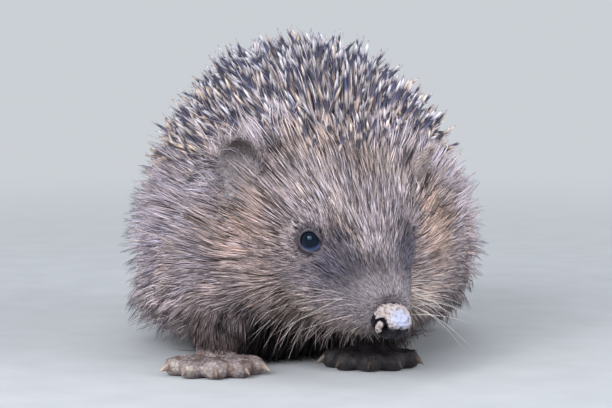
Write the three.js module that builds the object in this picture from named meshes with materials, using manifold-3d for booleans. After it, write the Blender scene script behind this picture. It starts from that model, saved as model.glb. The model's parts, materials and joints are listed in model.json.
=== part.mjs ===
// A young European hedgehog, standing still with its head turned to its left and held low.
// Millimetres, +Z up. The animal faces -Y and its left side is +X. The feet stand on Z = 0.
// The solids are the outer form of the coat, out to the tips of the fur and the quills.
import * as THREE from "three";
import { mergeVertices } from "three/addons/utils/BufferGeometryUtils.js";
import Module from "manifold-3d";

const wasm = await Module();
wasm.setup();

// ---------------------------------------------------------------- driving dimensions

const GAP = 0.3; // clearance between neighbouring solids

const TRUNK = {
  front: 4, // where the trunk starts, behind the chin
  widest: 78,
  rear: 159,
  aside: 1.2, // how far the turned head draws the trunk to the animal's left
  halfWidth: 52.2,
  skirtHeight: 31, // the level at which the coat is widest
  skirtFall: 2, // how much lower that level lies at the rump
  crown: 96, // height of the quill tips over the back
  belly: 8, // height of the belly fur
  fullness: 2.2, // exponent of the outline seen from above and from the side
  bellyFullness: 4,
  archPower: 1.2, // over 1 gives the back a slightly peaked arch
  skirtPower: 0.55, // under 1 lets the skirt hang down before it tucks in
};

// The head's own axes: ahead to the nose, to the right, and up. Its origin lies between the eyes.
const HEAD = {
  origin: [16.2, 3.5, 34.4],
  yaw: 27, // turned to the animal's left
  pitch: 37, // nose held down
  roll: 4, // left side lower
  neckCut: -31, // where head and neck part, along the head's axis
  trunkCut: -39, // where neck and trunk part
  borderWidth: 35, // half sizes of the oval border between the head and the trunk
  borderHeight: 27,
  borderDrop: 4, // how far the oval's middle lies under the head's axis
};

// Sections of the head: place along its axis, half width, height above the axis, depth below it.
const HEAD_SECTIONS = [
  [26, 0, 0, 0],
  [24, 5.6, 4.1, 5.6],
  [17, 9.4, 6.8, 11.5],
  [8, 14.2, 9.8, 17.5],
  [-1, 18.8, 13, 22],
  [-11, 25.5, 16.5, 25],
  [-21, 30.5, 19, 27],
  [-31, 32.5, 20, 28.5],
  [-39, 31.5, 19.5, 27.5],
  [-48, 0, 0, 0],
];

const EYE = { radius: 3.5, ahead: -2.5, side: 15.2, up: 3.6 };
const BROW = { ahead: -4.5, side: 13.5, up: 8.5, reach: 5, height: 1 };
const EYE_HOLLOW = { ahead: 4.5, side: 13, up: 1.5, reach: 6, height: -1.4 };
const CHEEK = { ahead: -10, side: 21, up: -10, reach: 10, height: 1.5 };

const NOSE = { ahead: 25.6, length: 4.6, halfWidth: 5.3, up: 4.3, down: 4.1, lift: 0.4 };
const NOSTRIL = { ahead: 28.2, side: 4.2, up: -0.6, radii: [1.1, 1.6, 1.5] };

const JAW = { front: 20.5, back: 0, top: -5.2, tilt: -9 };

const EAR = {
  ahead: -27,
  side: 28.5,
  up: 9,
  halfWidth: 7,
  halfHeight: 9.5,
  halfThickness: 1.15,
  cup: 3.4, // depth of the dish
  turnOut: 38, // how far the open side turns away from straight ahead
};

const FORE_LEGS = { right: [-24.6, 12], left: [20.6, 27] };
const FORE_LEG = { lean: [-4, 14], height: 32, halfWidth: 10.5, halfLength: 9, ankle: 5.8 };
const FORE_FOOT = {
  palm: [8.4, 7.4, 5.2],
  toeAngles: [-66, -33, 0, 33, 66],
  toeReach: [8.6, 9, 9.2, 9, 8.6],
  toe: [2.9, 4.3, 2.7],
  toeHeight: 2,
  heading: { right: 4, left: -4 },
};

const HIND_LEGS = { right: [-25, 124], left: [25, 116] };
const HIND_LEG = { lean: [0, -5], height: 32, halfWidth: 10.5, halfLength: 12, ankle: 6.6 };
const HIND_FOOT = {
  palm: [6.4, 13, 5],
  toeAngles: [-42, -19, 0, 19, 42],
  toeReach: [12.4, 15.2, 16, 15.2, 12.4],
  toe: [2.3, 4.4, 2.6],
  toeHeight: 2.1,
  heading: { right: 12, left: -12 },
};

const CLAW = { length: 5.4, radius: 1.05, droop: 1.3, height: 2.5 };

const TAIL = { root: [0, 149, 21], tip: [0, 163, 11.5], radius: 3.8 };

// ---------------------------------------------------------------- colours

const furMaterial = new THREE.MeshStandardMaterial({ color: 0x8d7a6c, roughness: 0.9 });
const quillMaterial = new THREE.MeshStandardMaterial({ color: 0x7d7268, roughness: 0.7 });
const darkFurMaterial = new THREE.MeshStandardMaterial({ color: 0x5b5049, roughness: 0.9 });
const skinMaterial = new THREE.MeshStandardMaterial({ color: 0xa58f83, roughness: 0.7 });
const earMaterial = new THREE.MeshStandardMaterial({ color: 0x7f7470, roughness: 0.8 });
const noseMaterial = new THREE.MeshStandardMaterial({ color: 0x3a3433, roughness: 0.45 });
const eyeMaterial = new THREE.MeshStandardMaterial({ color: 0x0a0a0d, roughness: 0.08 });
const clawMaterial = new THREE.MeshStandardMaterial({ color: 0xc9ab90, roughness: 0.45 });

// ---------------------------------------------------------------- shapes

/** A closed ball of columns by rows, each unit direction (right, ahead, up) moved by place. */
function ball(columns, rows, place) {
  const geometry = new THREE.SphereGeometry(1, columns, rows);
  geometry.deleteAttribute("normal");
  geometry.deleteAttribute("uv");
  const points = geometry.getAttribute("position");
  const direction = new THREE.Vector3();
  for (let i = 0; i < points.count; i += 1) {
    direction.fromBufferAttribute(points, i);
    const p = place(direction.x, direction.y, direction.z);
    points.setXYZ(i, p.x, p.y, p.z);
  }
  return mergeVertices(geometry, 1e-3);
}

/** An ellipsoid about the origin, with half sizes along right, ahead and up. */
function ellipsoid(columns, rows, [right, ahead, up]) {
  return ball(columns, rows, (r, a, u) => new THREE.Vector3(r * right, a * ahead, u * up));
}

/** A closed geometry as a solid. */
function solidOf(geometry) {
  return new wasm.Manifold(
    new wasm.Mesh({
      numProp: 3,
      vertProperties: new Float32Array(geometry.getAttribute("position").array),
      triVerts: new Uint32Array(geometry.index.array),
    }),
  );
}

/** A box as a solid, from its lowest to its highest corner, moved by matrix. */
function boxSolid(low, high, matrix = new THREE.Matrix4()) {
  const size = new THREE.Vector3().subVectors(high, low);
  const centre = new THREE.Vector3().addVectors(low, high).multiplyScalar(0.5);
  const box = new THREE.BoxGeometry(size.x, size.y, size.z);
  box.deleteAttribute("normal");
  box.deleteAttribute("uv");
  box.translate(centre.x, centre.y, centre.z);
  return solidOf(mergeVertices(box, 1e-3).applyMatrix4(matrix));
}

/** A power that keeps the sign of its base. */
function signedPower(base, power) {
  return Math.sign(base) * Math.abs(base) ** power;
}

const FAR = 400; // further than any part of the animal

/** Everything with low < along < high on one axis of the frame that matrix gives. */
function slab(axis, low, high, matrix) {
  const from = new THREE.Vector3(-FAR, -FAR, -FAR);
  const to = new THREE.Vector3(FAR, FAR, FAR);
  from[axis] = low;
  to[axis] = high;
  return boxSolid(from, to, matrix);
}

const rad = THREE.MathUtils.degToRad;

/** The matrix from (right, ahead, up) to the animal's frame, turned about the vertical. */
function facing(place, heading) {
  const right = new THREE.Vector3(-1, 0, 0);
  const ahead = new THREE.Vector3(0, -1, 0);
  const up = new THREE.Vector3(0, 0, 1);
  return new THREE.Matrix4()
    .makeTranslation(...place)
    .multiply(new THREE.Matrix4().makeRotationZ(rad(heading)))
    .multiply(new THREE.Matrix4().makeBasis(right, ahead, up));
}

// The head's frame: right, ahead and up, turned by yaw, then pitch, then roll.
const headMatrix = facing(HEAD.origin, HEAD.yaw)
  .multiply(new THREE.Matrix4().makeRotationX(rad(-HEAD.pitch)))
  .multiply(new THREE.Matrix4().makeRotationY(rad(-HEAD.roll)));

// ---------------------------------------------------------------- trunk

/** The trunk with its quills and skirt of fur, larger all round by grow. */
function trunkSolid(grow = 0) {
  const place = (right, ahead, up) => {
    const ring = Math.hypot(right, up);
    const half = ahead > 0 ? TRUNK.widest - TRUNK.front : TRUNK.rear - TRUNK.widest;
    const level = TRUNK.skirtHeight - TRUNK.skirtFall * (0.5 - 0.5 * ahead);
    const fullness = up > 0 ? TRUNK.fullness : TRUNK.bellyFullness;
    const sideTaper = Math.sqrt(1 - Math.abs(ahead) ** TRUNK.fullness);
    const taper = Math.sqrt(1 - Math.abs(ahead) ** fullness);
    const height = up > 0 ? TRUNK.crown - level : level - TRUNK.belly;
    const across = ring > 1e-6 ? right / ring : 0;
    const above = ring > 1e-6 ? up / ring : 0;
    const sidePower = up > 0 ? TRUNK.archPower : TRUNK.skirtPower;
    const risePower = up > 0 ? 1 : TRUNK.skirtPower;
    return new THREE.Vector3(
      TRUNK.aside - signedPower(across, sidePower) * sideTaper * (TRUNK.halfWidth + grow),
      TRUNK.widest - ahead * (half + grow),
      level + signedPower(above, risePower) * taper * (height + grow),
    );
  };
  return solidOf(ball(36, 20, place));
}

// ---------------------------------------------------------------- head

/** How far a soft bump or hollow moves the surface at a place on the head. */
function relief(p, form) {
  const away = Math.hypot(
    p.y - form.ahead,
    Math.abs(p.x) - form.side,
    p.z - form.up,
  );
  return form.height * Math.exp(-((away / form.reach) ** 2));
}

/** The head from the muzzle to inside the trunk, larger all round by grow. */
function headSolid(grow = 0) {
  const curveOf = (column) =>
    new THREE.SplineCurve(HEAD_SECTIONS.map((s) => new THREE.Vector2(s[0], s[column])));
  const [widths, heights, depths] = [1, 2, 3].map(curveOf);
  const middle = (HEAD_SECTIONS[0][0] + HEAD_SECTIONS.at(-1)[0]) / 2;
  const place = (right, ahead, up) => {
    const along = Math.acos(THREE.MathUtils.clamp(ahead, -1, 1)) / Math.PI;
    const ring = Math.hypot(right, up);
    const width = widths.getPoint(along);
    const rise = (up > 0 ? heights : depths).getPoint(along).y;
    const p = new THREE.Vector3(
      ring > 1e-6 ? (right / ring) * Math.max(width.y, 0) : 0,
      width.x,
      ring > 1e-6 ? (up / ring) * Math.max(rise, 0) : 0,
    );
    const outward = new THREE.Vector3(right, 0.3 * Math.sign(ahead), up).normalize();
    const shift = [BROW, EYE_HOLLOW, CHEEK].reduce((sum, form) => sum + relief(p, form), grow);
    p.y += grow * Math.sign(p.y - middle);
    return p.addScaledVector(outward, shift * Math.min(1, 4 * ring));
  };
  return solidOf(ball(26, 18, place).applyMatrix4(headMatrix));
}

/** The oval space along the head's axis, from low to high, that bounds the head and neck. */
function headSpace(low, high, grow = 0) {
  const oval = new THREE.CylinderGeometry(1, 1, high - low, 36, 1);
  oval.deleteAttribute("normal");
  oval.deleteAttribute("uv");
  oval.scale(HEAD.borderWidth + grow, 1, HEAD.borderHeight + grow);
  oval.translate(0, (low + high) / 2, -HEAD.borderDrop);
  return solidOf(mergeVertices(oval, 1e-3).applyMatrix4(headMatrix));
}

/** Something at a place in the head's frame, on the right for side 1 and the left for -1. */
function onHead(geometry, form, side) {
  return geometry.translate(side * form.side, form.ahead, form.up).applyMatrix4(headMatrix);
}

function eyeSolid(side, grow = 0) {
  const size = EYE.radius + grow;
  return solidOf(onHead(ellipsoid(10, 8, [size, size, size]), EYE, side));
}

/** The bare nose pad, blunt in front and notched by the two nostrils. */
function noseSolid(grow = 0) {
  const pad = ball(12, 8, (right, ahead, up) => {
    const blunt = Math.sign(ahead) * Math.abs(ahead) ** 0.8;
    return new THREE.Vector3(
      right * (NOSE.halfWidth + grow) * (1 - 0.08 * up),
      NOSE.ahead + blunt * (NOSE.length + grow),
      NOSE.lift + up * ((up > 0 ? NOSE.up : NOSE.down) + grow),
    );
  });
  return solidOf(pad.applyMatrix4(headMatrix));
}

function nostrilSolid(side) {
  return solidOf(onHead(ellipsoid(7, 5, NOSTRIL.radii), NOSTRIL, side));
}

/** The lower jaw: what lies under the line of the mouth, as far back as the throat. */
function jawSolid(grow = 0) {
  const tilt = new THREE.Matrix4()
    .makeTranslation(0, JAW.front, JAW.top)
    .multiply(new THREE.Matrix4().makeRotationX(rad(JAW.tilt)));
  const underMouth = boxSolid(
    new THREE.Vector3(-FAR, JAW.back - JAW.front - grow, -FAR),
    new THREE.Vector3(FAR, grow, grow),
    headMatrix.clone().multiply(tilt),
  );
  return headSolid(grow).intersect(underMouth).subtract(trunkSolid(GAP - grow));
}

/** A cupped, rounded ear that opens ahead and outwards. */
function earSolid(side) {
  const ear = ball(14, 7, (right, ahead, up) => {
    const dish = EAR.cup * (right * right + 0.6 * up * up);
    return new THREE.Vector3(
      right * EAR.halfWidth * (1 - 0.12 * up),
      ahead * EAR.halfThickness + dish,
      up * EAR.halfHeight,
    );
  });
  ear.rotateX(rad(14)).rotateZ(rad(-side * EAR.turnOut));
  return solidOf(onHead(ear, EAR, side));
}

// ---------------------------------------------------------------- limbs

/** A leg and its foot as one solid, standing on Z = 0, with the claws apart. */
function limb(place, leg, foot, heading) {
  const frame = facing([place[0], place[1], 0], heading);
  const side = Math.sign(place[0]);
  const column = ball(12, 6, (right, ahead, up) => {
    const rise = (up + 1) / 2;
    const girth = 0.8 + 0.2 * rise;
    return new THREE.Vector3(
      place[0] - right * leg.halfWidth * girth + side * leg.lean[0] * rise,
      place[1] - ahead * leg.halfLength * girth + leg.lean[1] * rise,
      rise * leg.height,
    );
  });
  const palm = ellipsoid(11, 6, foot.palm).translate(0, 0, 1).applyMatrix4(frame);
  let whole = solidOf(column).add(solidOf(palm));
  const claws = foot.toeAngles.map((angle, i) => {
    const turn = new THREE.Matrix4().makeRotationZ(rad(-angle));
    const toeFrame = frame.clone().multiply(turn);
    const toeSolid = (grow) => {
      const size = foot.toe.map((half) => half + grow);
      const toe = ellipsoid(6, 5, size).translate(0, foot.toeReach[i], foot.toeHeight);
      return solidOf(toe.applyMatrix4(toeFrame));
    };
    whole = whole.add(toeSolid(0));
    return clawSolid(toeFrame, foot.toeReach[i] + foot.toe[1]).subtract(toeSolid(GAP));
  });
  return { whole: whole.subtract(slab("z", -FAR, 0)), claws };
}

/** A claw that grows from the end of a toe, at reach, and curves down to its point. */
function clawSolid(frame, reach) {
  const claw = ball(5, 4, (right, ahead, up) => {
    const along = (ahead + 1) / 2;
    const girth = CLAW.radius * (1 - 0.75 * along ** 1.5);
    return new THREE.Vector3(
      right * girth,
      reach - 1.2 + along * CLAW.length,
      CLAW.height + up * girth * 1.2 - CLAW.droop * along * along,
    );
  });
  return solidOf(claw.applyMatrix4(frame));
}

/** The short tail, a tapered cone with a rounded tip. */
function tailSolid() {
  const root = new THREE.Vector3(...TAIL.root);
  const tip = new THREE.Vector3(...TAIL.tip);
  const ahead = new THREE.Vector3().subVectors(tip, root);
  const length = ahead.length();
  const right = new THREE.Vector3(1, 0, 0);
  const up = new THREE.Vector3().crossVectors(right, ahead.normalize());
  const frame = new THREE.Matrix4().makeBasis(right, ahead, up).setPosition(root);
  const cone = ball(9, 6, (r, a, u) => {
    const girth = TAIL.radius * (1 - 0.35 * a);
    return new THREE.Vector3(r * girth, ((a + 1) / 2) * length, u * girth);
  });
  return solidOf(cone.applyMatrix4(frame));
}

// ---------------------------------------------------------------- the animal in its parts

const hedgehog = new THREE.Group();

/** Adds a solid to the animal as one named mesh. */
function addPart(name, solid, material) {
  const { vertProperties, triVerts, numProp } = solid.getMesh();
  const count = vertProperties.length / numProp;
  const positions = new Float32Array(count * 3);
  for (let i = 0; i < count; i += 1) {
    positions.set(vertProperties.subarray(i * numProp, i * numProp + 3), i * 3);
  }
  const geometry = new THREE.BufferGeometry()
    .setAttribute("position", new THREE.BufferAttribute(positions, 3))
    .setIndex(new THREE.BufferAttribute(new Uint32Array(triVerts), 1));
  const mesh = new THREE.Mesh(geometry, material);
  mesh.name = name;
  hedgehog.add(mesh);
}

const SIDES = { right: 1, left: -1 };

// Head, with its eyes, ears, nose and jaw.
const headGrown = headSolid(GAP);
const body = headSolid().add(trunkSolid());
let head = body.intersect(headSpace(HEAD.neckCut, FAR)).subtract(noseSolid(GAP));
for (const [name, side] of Object.entries(SIDES)) {
  head = head.subtract(eyeSolid(side, GAP));
  addPart(`eye_${name}`, eyeSolid(side), eyeMaterial);
  addPart(`ear_${name}`, earSolid(side).subtract(headGrown).subtract(trunkSolid(GAP)), earMaterial);
}
let nose = noseSolid();
for (const side of Object.values(SIDES)) {
  nose = nose.subtract(nostrilSolid(side));
}
addPart("nose", nose, noseMaterial);
addPart("jaw_lower", jawSolid().subtract(noseSolid(GAP)), furMaterial);
addPart("head", head.subtract(jawSolid(GAP)), furMaterial);
const neck = body.intersect(headSpace(HEAD.trunkCut, HEAD.neckCut - GAP));
addPart("neck", neck, furMaterial);

// Trunk, hollowed for the neck and the back of the head, in three lengths.
const trunk = trunkSolid().subtract(headSpace(HEAD.trunkCut - GAP, FAR, GAP));
const TRUNK_LENGTHS = { shoulders: [-FAR, 52], back: [52, 112], rump: [112, FAR] };
for (const [name, [from, to]] of Object.entries(TRUNK_LENGTHS)) {
  const length = slab("y", from + GAP / 2, to - GAP / 2, new THREE.Matrix4());
  addPart(name, trunk.intersect(length), quillMaterial);
}

// Legs, feet and claws.
function addLimb(kind, side, place, leg, foot) {
  const { whole, claws } = limb(place, leg, foot, foot.heading[side]);
  const level = new THREE.Matrix4();
  const upper = whole
    .intersect(slab("z", leg.ankle + GAP, FAR, level))
    .subtract(trunkSolid(GAP))
    .subtract(headGrown);
  const lower = whole.intersect(slab("z", -FAR, leg.ankle, level));
  addPart(`leg_${kind}_${side}`, upper, darkFurMaterial);
  addPart(`foot_${kind}_${side}`, lower, skinMaterial);
  claws.forEach((claw, i) => addPart(`claw_${kind}_${side}_${i + 1}`, claw, clawMaterial));
}
for (const side of Object.keys(SIDES)) {
  addLimb("fore", side, FORE_LEGS[side], FORE_LEG, FORE_FOOT);
  addLimb("hind", side, HIND_LEGS[side], HIND_LEG, HIND_FOOT);
}

addPart("tail", tailSolid().subtract(trunkSolid(GAP)), darkFurMaterial);

// The origin lies on the floor, at the middle of the animal's box.
const box = new THREE.Box3().setFromObject(hedgehog);
const middle = box.getCenter(new THREE.Vector3());
hedgehog.position.set(-middle.x, -middle.y, -box.min.z);

export default hedgehog;
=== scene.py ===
"""A standing hedgehog: one skin, a bare nose, eyes and claws, and a coat of fur and quills."""

import json
import logging
import math
from dataclasses import dataclass, field
from enum import Enum
from itertools import product

import bmesh
import bpy
import numpy as np
from mathutils import Matrix, Vector
from mathutils.bvhtree import BVHTree
from mathutils.kdtree import KDTree

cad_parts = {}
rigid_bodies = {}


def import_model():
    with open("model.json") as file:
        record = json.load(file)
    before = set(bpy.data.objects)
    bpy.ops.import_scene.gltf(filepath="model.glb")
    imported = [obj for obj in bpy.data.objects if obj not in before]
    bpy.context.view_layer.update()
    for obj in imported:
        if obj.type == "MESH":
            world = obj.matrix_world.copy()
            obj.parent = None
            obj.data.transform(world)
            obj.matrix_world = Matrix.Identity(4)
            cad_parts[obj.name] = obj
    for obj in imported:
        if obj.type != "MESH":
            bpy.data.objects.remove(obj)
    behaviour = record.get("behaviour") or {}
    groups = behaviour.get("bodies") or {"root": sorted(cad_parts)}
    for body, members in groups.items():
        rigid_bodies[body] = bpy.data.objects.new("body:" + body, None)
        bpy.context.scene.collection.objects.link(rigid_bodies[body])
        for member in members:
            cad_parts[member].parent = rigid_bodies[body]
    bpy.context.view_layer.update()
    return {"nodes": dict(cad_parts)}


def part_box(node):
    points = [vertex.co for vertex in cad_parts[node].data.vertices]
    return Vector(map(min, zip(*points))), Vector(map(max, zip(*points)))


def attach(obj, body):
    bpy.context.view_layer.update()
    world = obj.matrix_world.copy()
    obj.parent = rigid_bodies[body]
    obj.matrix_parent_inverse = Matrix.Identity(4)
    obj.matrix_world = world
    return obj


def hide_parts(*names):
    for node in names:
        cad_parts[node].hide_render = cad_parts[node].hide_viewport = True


log = logging.getLogger("hedgehog")
MM = 0.001
SEED = 7
SIDES = ("right", "left")
FEET = ("fore_right", "fore_left", "hind_right", "hind_left")
TOES = range(1, 6)
SCARCELY = 1e-12  # added to a density, so that no skin is quite without a chance of hair

Array = np.ndarray
BMesh = bmesh.types.BMesh
Material = bpy.types.Material
Mesh = bpy.types.Mesh
Object = bpy.types.Object
Plug = bpy.types.NodeSocket
Tree = bpy.types.NodeTree
Rgb = tuple[int, int, int]
Place = tuple[float, float, float]
Stops = tuple[tuple[float, Rgb], ...]
Style = tuple[Array, Array, Array, Array]


# ---------------------------------------------------------------- small helpers


def ramp(x: Array, low: float, high: float) -> Array:
    """Return a smooth step that goes from 0 at low to 1 at high."""
    t = np.clip((x - low) / (high - low), 0.0, 1.0)
    return t * t * (3.0 - 2.0 * t)


def spot(*terms: Array) -> Array:
    """Return 1 where every term is 0, fading out smoothly where they pass 1."""
    return np.exp(-sum(term**2 for term in terms))


def unit(v: Array) -> Array:
    """Return the vectors at length one."""
    return v / np.maximum(np.linalg.norm(v, axis=-1, keepdims=True), 1e-9)


def turn(axis: str, degrees: float) -> Array:
    """Return the 3 by 3 matrix of a turn about a main axis."""
    return np.array(Matrix.Rotation(math.radians(degrees), 3, axis.upper()))


def linear(red: int, green: int, blue: int) -> Array:
    """Return a colour written as 0 to 255 display values in scene-linear values."""
    c = np.array([red, green, blue], float) / 255.0
    return np.where(c <= 0.04045, c / 12.92, ((c + 0.055) / 1.055) ** 2.4)


def opaque(red: int, green: int, blue: int) -> tuple[float, float, float, float]:
    """Return a display colour as a scene-linear colour with full alpha."""
    return (*linear(red, green, blue), 1.0)


def ripple(p: Array, size: float, phase: float = 0.0) -> Array:
    """A smooth wandering value, about -1 to 1, that changes over size millimetres.

    Args:
        p: places in millimetres, one row each.
        size: how far apart its crests lie.
        phase: picks another field of the same kind.

    Returns:
        One value for each place.
    """
    k = 2.0 * math.pi / size
    x, y, z = p[:, 0] * k, p[:, 1] * k, p[:, 2] * k
    a = np.sin(x + 1.7 * np.sin(0.7 * y + phase) + phase)
    b = np.sin(1.1 * y + 1.3 * np.sin(0.9 * z + 2.0 * phase))
    c = np.sin(0.9 * z + 1.5 * np.sin(0.8 * x + 3.0 * phase))
    return (a + b + c) / 3.0


def put(name: str, data: bpy.types.ID) -> Object:
    """Link new data into the scene.

    Args:
        name: name of the object.
        data: what it shows.

    Returns:
        The new object.
    """
    obj = bpy.data.objects.new(name, data)
    bpy.context.scene.collection.objects.link(obj)
    return obj


def mesh_of(bm: BMesh, name: str) -> Mesh:
    """Turn a bmesh into a mesh.

    Args:
        bm: the bmesh, which is used up.
        name: name of the mesh.

    Returns:
        The new mesh.
    """
    mesh = bpy.data.meshes.new(name)
    bm.to_mesh(mesh)
    bm.free()
    return mesh


def take(whole: BMesh, part: BMesh) -> None:
    """Move a part into the whole.

    Args:
        whole: what is added to.
        part: what is added, and used up.
    """
    copy = mesh_of(part, "part")
    whole.from_mesh(copy)
    bpy.data.meshes.remove(copy)


def finish_object(name: str, mesh: Mesh, material: Material) -> Object:
    """Link a mesh as a smooth piece that rides on the body.

    Args:
        name: name of the piece.
        mesh: its finished mesh.
        material: what it is made of.

    Returns:
        The new object.
    """
    obj = put(name, mesh)
    mesh.materials.append(material)
    mesh.polygons.foreach_set("use_smooth", np.ones(len(mesh.polygons), bool))
    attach(obj, "root")
    return obj


def set_value(mesh: Mesh, name: str, values: Array) -> None:
    """Store one number or one colour per vertex on a mesh under a name.

    Args:
        mesh: the mesh.
        name: the name that the materials read.
        values: one number, or one row of three, for each vertex.
    """
    if values.ndim == 1:
        data = mesh.attributes.new(name, "FLOAT", "POINT").data
        data.foreach_set("value", values.astype(np.float32))
    else:
        rgba = np.ones((len(values), 4), np.float32)
        rgba[:, :3] = values
        mesh.attributes.new(name, "FLOAT_COLOR", "POINT").data.foreach_set("color", rgba.ravel())


def fetch(items: bpy.types.bpy_prop_collection, name: str, width: int, kind: type = np.float32) -> Array:
    """Read what a mesh stores for each of its items.

    Args:
        items: the vertices, edges or corners.
        name: what to read from them.
        width: how many numbers each item has.
        kind: the kind of number.

    Returns:
        One row of numbers for each item.
    """
    values = np.zeros(len(items) * width, kind)
    items.foreach_get(name, values)
    return values.reshape(-1, width)


# ---------------------------------------------------------------- frame of the head


@dataclass
class HeadFrame:
    """The head's own axes: to its right, ahead to the nose, and up, in millimetres."""

    yaw: float = 27.0
    pitch: float = 37.0
    roll: float = 4.0
    eye_ahead: float = -2.5
    eye_up: float = 3.6
    nose_ahead: float = 27.5
    eyes: dict[str, Array] = field(default_factory=dict)

    def __post_init__(self) -> None:
        """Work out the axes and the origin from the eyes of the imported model."""
        for side in SIDES:
            low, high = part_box(f"eye_{side}")
            self.eyes[side] = np.array((low + high) / 2) / MM
        basis = np.array([[-1.0, 0, 0], [0, -1.0, 0], [0, 0, 1.0]])
        self.axes = turn("z", self.yaw) @ basis @ turn("x", -self.pitch) @ turn("y", -self.roll)
        middle = (self.eyes["right"] + self.eyes["left"]) / 2
        self.origin = middle - self.axes @ np.array([0.0, self.eye_ahead, self.eye_up])
        self.nose_tip = self.world(np.array([0.0, self.nose_ahead, 0.3]))

    def local(self, p: Array) -> Array:
        """Return world places in the head's axes."""
        return (p - self.origin) @ self.axes

    def world(self, q: Array) -> Array:
        """Return places of the head's axes in the world."""
        return q @ self.axes.T + self.origin

    def heading(self, right: float, ahead: float, up: float) -> Array:
        """Return a world direction of length one from the head's axes."""
        return unit(self.axes @ np.array([right, ahead, up], float))


@dataclass
class Socket:
    """The place of one eye, with the shape of the opening between its lids."""

    head: HeadFrame
    side: str
    ball: float = 3.5
    open_radius: float = 2.8
    corner_reach: float = 1.6
    corner_width: float = 24.0
    sunk: float = 0.0
    veil: float = 0.0
    surround: float = 8.0

    def __post_init__(self) -> None:
        """Work out which way the eye looks and where its corner and lower lid lie."""
        if self.side == "right":
            self.look = self.head.heading(0.65, 0.63, 0.42)
        else:
            self.look = self.head.heading(-0.82, 0.42, 0.4)
            self.corner_reach = 0.3
            self.open_radius, self.sunk, self.veil = 2.5, 1.2, 1.8
        self.centre = self.head.eyes[self.side] - self.look * self.sunk
        ahead = unit(self.head.nose_tip - self.centre)
        self.corner = unit(ahead - (ahead @ self.look) * self.look)
        self.lower = np.cross(self.look, self.corner)
        if self.lower @ self.head.heading(0.0, 0.0, -1.0) < 0:
            self.lower = -self.lower

    def measure(self, p: Array) -> tuple[Array, Array, Array, Array]:
        """Measure places from the eye's own axis.

        Args:
            p: places in millimetres.

        Returns:
            The height along the axis, the distance from it, the distance past the edge of
            the opening, and the angle round the axis from the inner corner, in degrees.
        """
        gap = p - self.centre
        high = gap @ self.look
        flat = gap - high[:, None] * self.look
        far = np.linalg.norm(flat, axis=1)
        angle = np.degrees(np.arctan2(flat @ self.lower, flat @ self.corner))
        corner = np.exp(-((np.abs(angle - 4) / self.corner_width) ** 1.5))
        edge = self.open_radius + self.corner_reach * corner
        edge = edge - 0.35 * spot((angle + 80) / 36)
        return high, far, far - edge, angle

    def near(self, p: Array) -> Array:
        """Return 1 close to the eye on its outer side, fading to 0 beyond its surround."""
        high, far, _, _ = self.measure(p)
        return ramp(-far, -self.surround, -self.surround * 0.7) * ramp(high, -3.0, -1.5)


@dataclass
class EarForm:
    """The thin cup of one ear."""

    head: HeadFrame
    side: str
    ahead: float = -27.0
    out: float = 30.2
    up: float = 9.0
    half_width: float = 6.6
    half_height: float = 10.2
    thickness: float = 1.3
    cast: float = 2.8
    cup: float = 3.6
    turn_out: float = 38.0
    lean: float = 16.0
    base: Place = (0.0052, 0.0050, 0.0062)

    def __post_init__(self) -> None:
        """Work out the ear's own axes in the world."""
        sign = 1.0 if self.side == "right" else -1.0
        if self.side == "left":
            self.out, self.up = self.out - 1.8, self.up - 1.6
        angle = math.radians(self.turn_out)
        self.face = self.head.heading(sign * math.sin(angle), math.cos(angle), 0.12)
        self.across = self.head.heading(sign * math.cos(angle), -math.sin(angle), 0.0)
        self.rise = unit(np.cross(self.across, self.face)) * sign
        tilt = math.radians(self.lean)
        level = self.across
        self.across = level * math.cos(tilt) - self.rise * math.sin(tilt)
        self.rise = self.rise * math.cos(tilt) + level * math.sin(tilt)
        self.centre = self.head.world(np.array([sign * self.out, self.ahead, self.up]))
        self.root = self.head.world(np.array([sign * (self.out - 4.2), self.ahead - 0.5, self.up - 6.2]))

    def form(self) -> BMesh:
        """Shape the cup and its root.

        Returns:
            Both as closed solids.
        """
        bm = bmesh.new()
        bmesh.ops.create_icosphere(bm, subdivisions=5, radius=1.0)
        for v in bm.verts:
            u, w, t = v.co
            r = min(1.0, math.hypot(u, w))
            curl = 1.5 * max(0.0, (r - 0.78) / 0.22) ** 2 * (0.6 + 0.4 * w)
            thick = math.copysign(abs(t) ** 0.55, t) * self.cast * 0.5
            depth = self.cup * (r * r - 0.55) + curl + thick
            narrow = 1.0 - 0.16 * max(0.0, -w) - 0.08 * max(0.0, (r - 0.85) / 0.15)
            p = self.centre + self.across * u * self.half_width * narrow
            v.co = (p + self.rise * w * self.half_height + self.face * depth) * MM
        base = Matrix.Translation(self.root * MM) @ Matrix.Diagonal((*self.base, 1.0))
        bmesh.ops.create_icosphere(bm, subdivisions=4, radius=1.0, matrix=base)
        return bm

    def local(self, p: Array) -> tuple[Array, Array, Array]:
        """Return places across and up the cup, in its half sizes, and before it, in millimetres."""
        gap = p - self.centre
        return gap @ self.across / self.half_width, gap @ self.rise / self.half_height, gap @ self.face

    def thin(self, p: Array) -> Array:
        """Press the ear from its cast thickness to its own.

        Args:
            p: places in millimetres.

        Returns:
            The moved places.
        """
        u, w, d = self.local(p)
        off = d - self.cup * (u * u + w * w - 0.55)
        share = self.weight(p) * ramp(w, -0.9, -0.45)
        return p - self.face * (off * share * (1 - self.thickness / self.cast))[:, None]

    def weight(self, p: Array) -> Array:
        """How much places belong to the ear.

        Args:
            p: places in millimetres.

        Returns:
            A share from 0 to 1 for each place.
        """
        u, w, d = self.local(p)
        r = np.hypot(u, w)
        off = np.abs(d - self.cup * (r * r - 0.55))
        return ramp(-r, -1.35, -1.12) * ramp(-off, -3.4, -2.0)


# ---------------------------------------------------------------- lie of the coat


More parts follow.
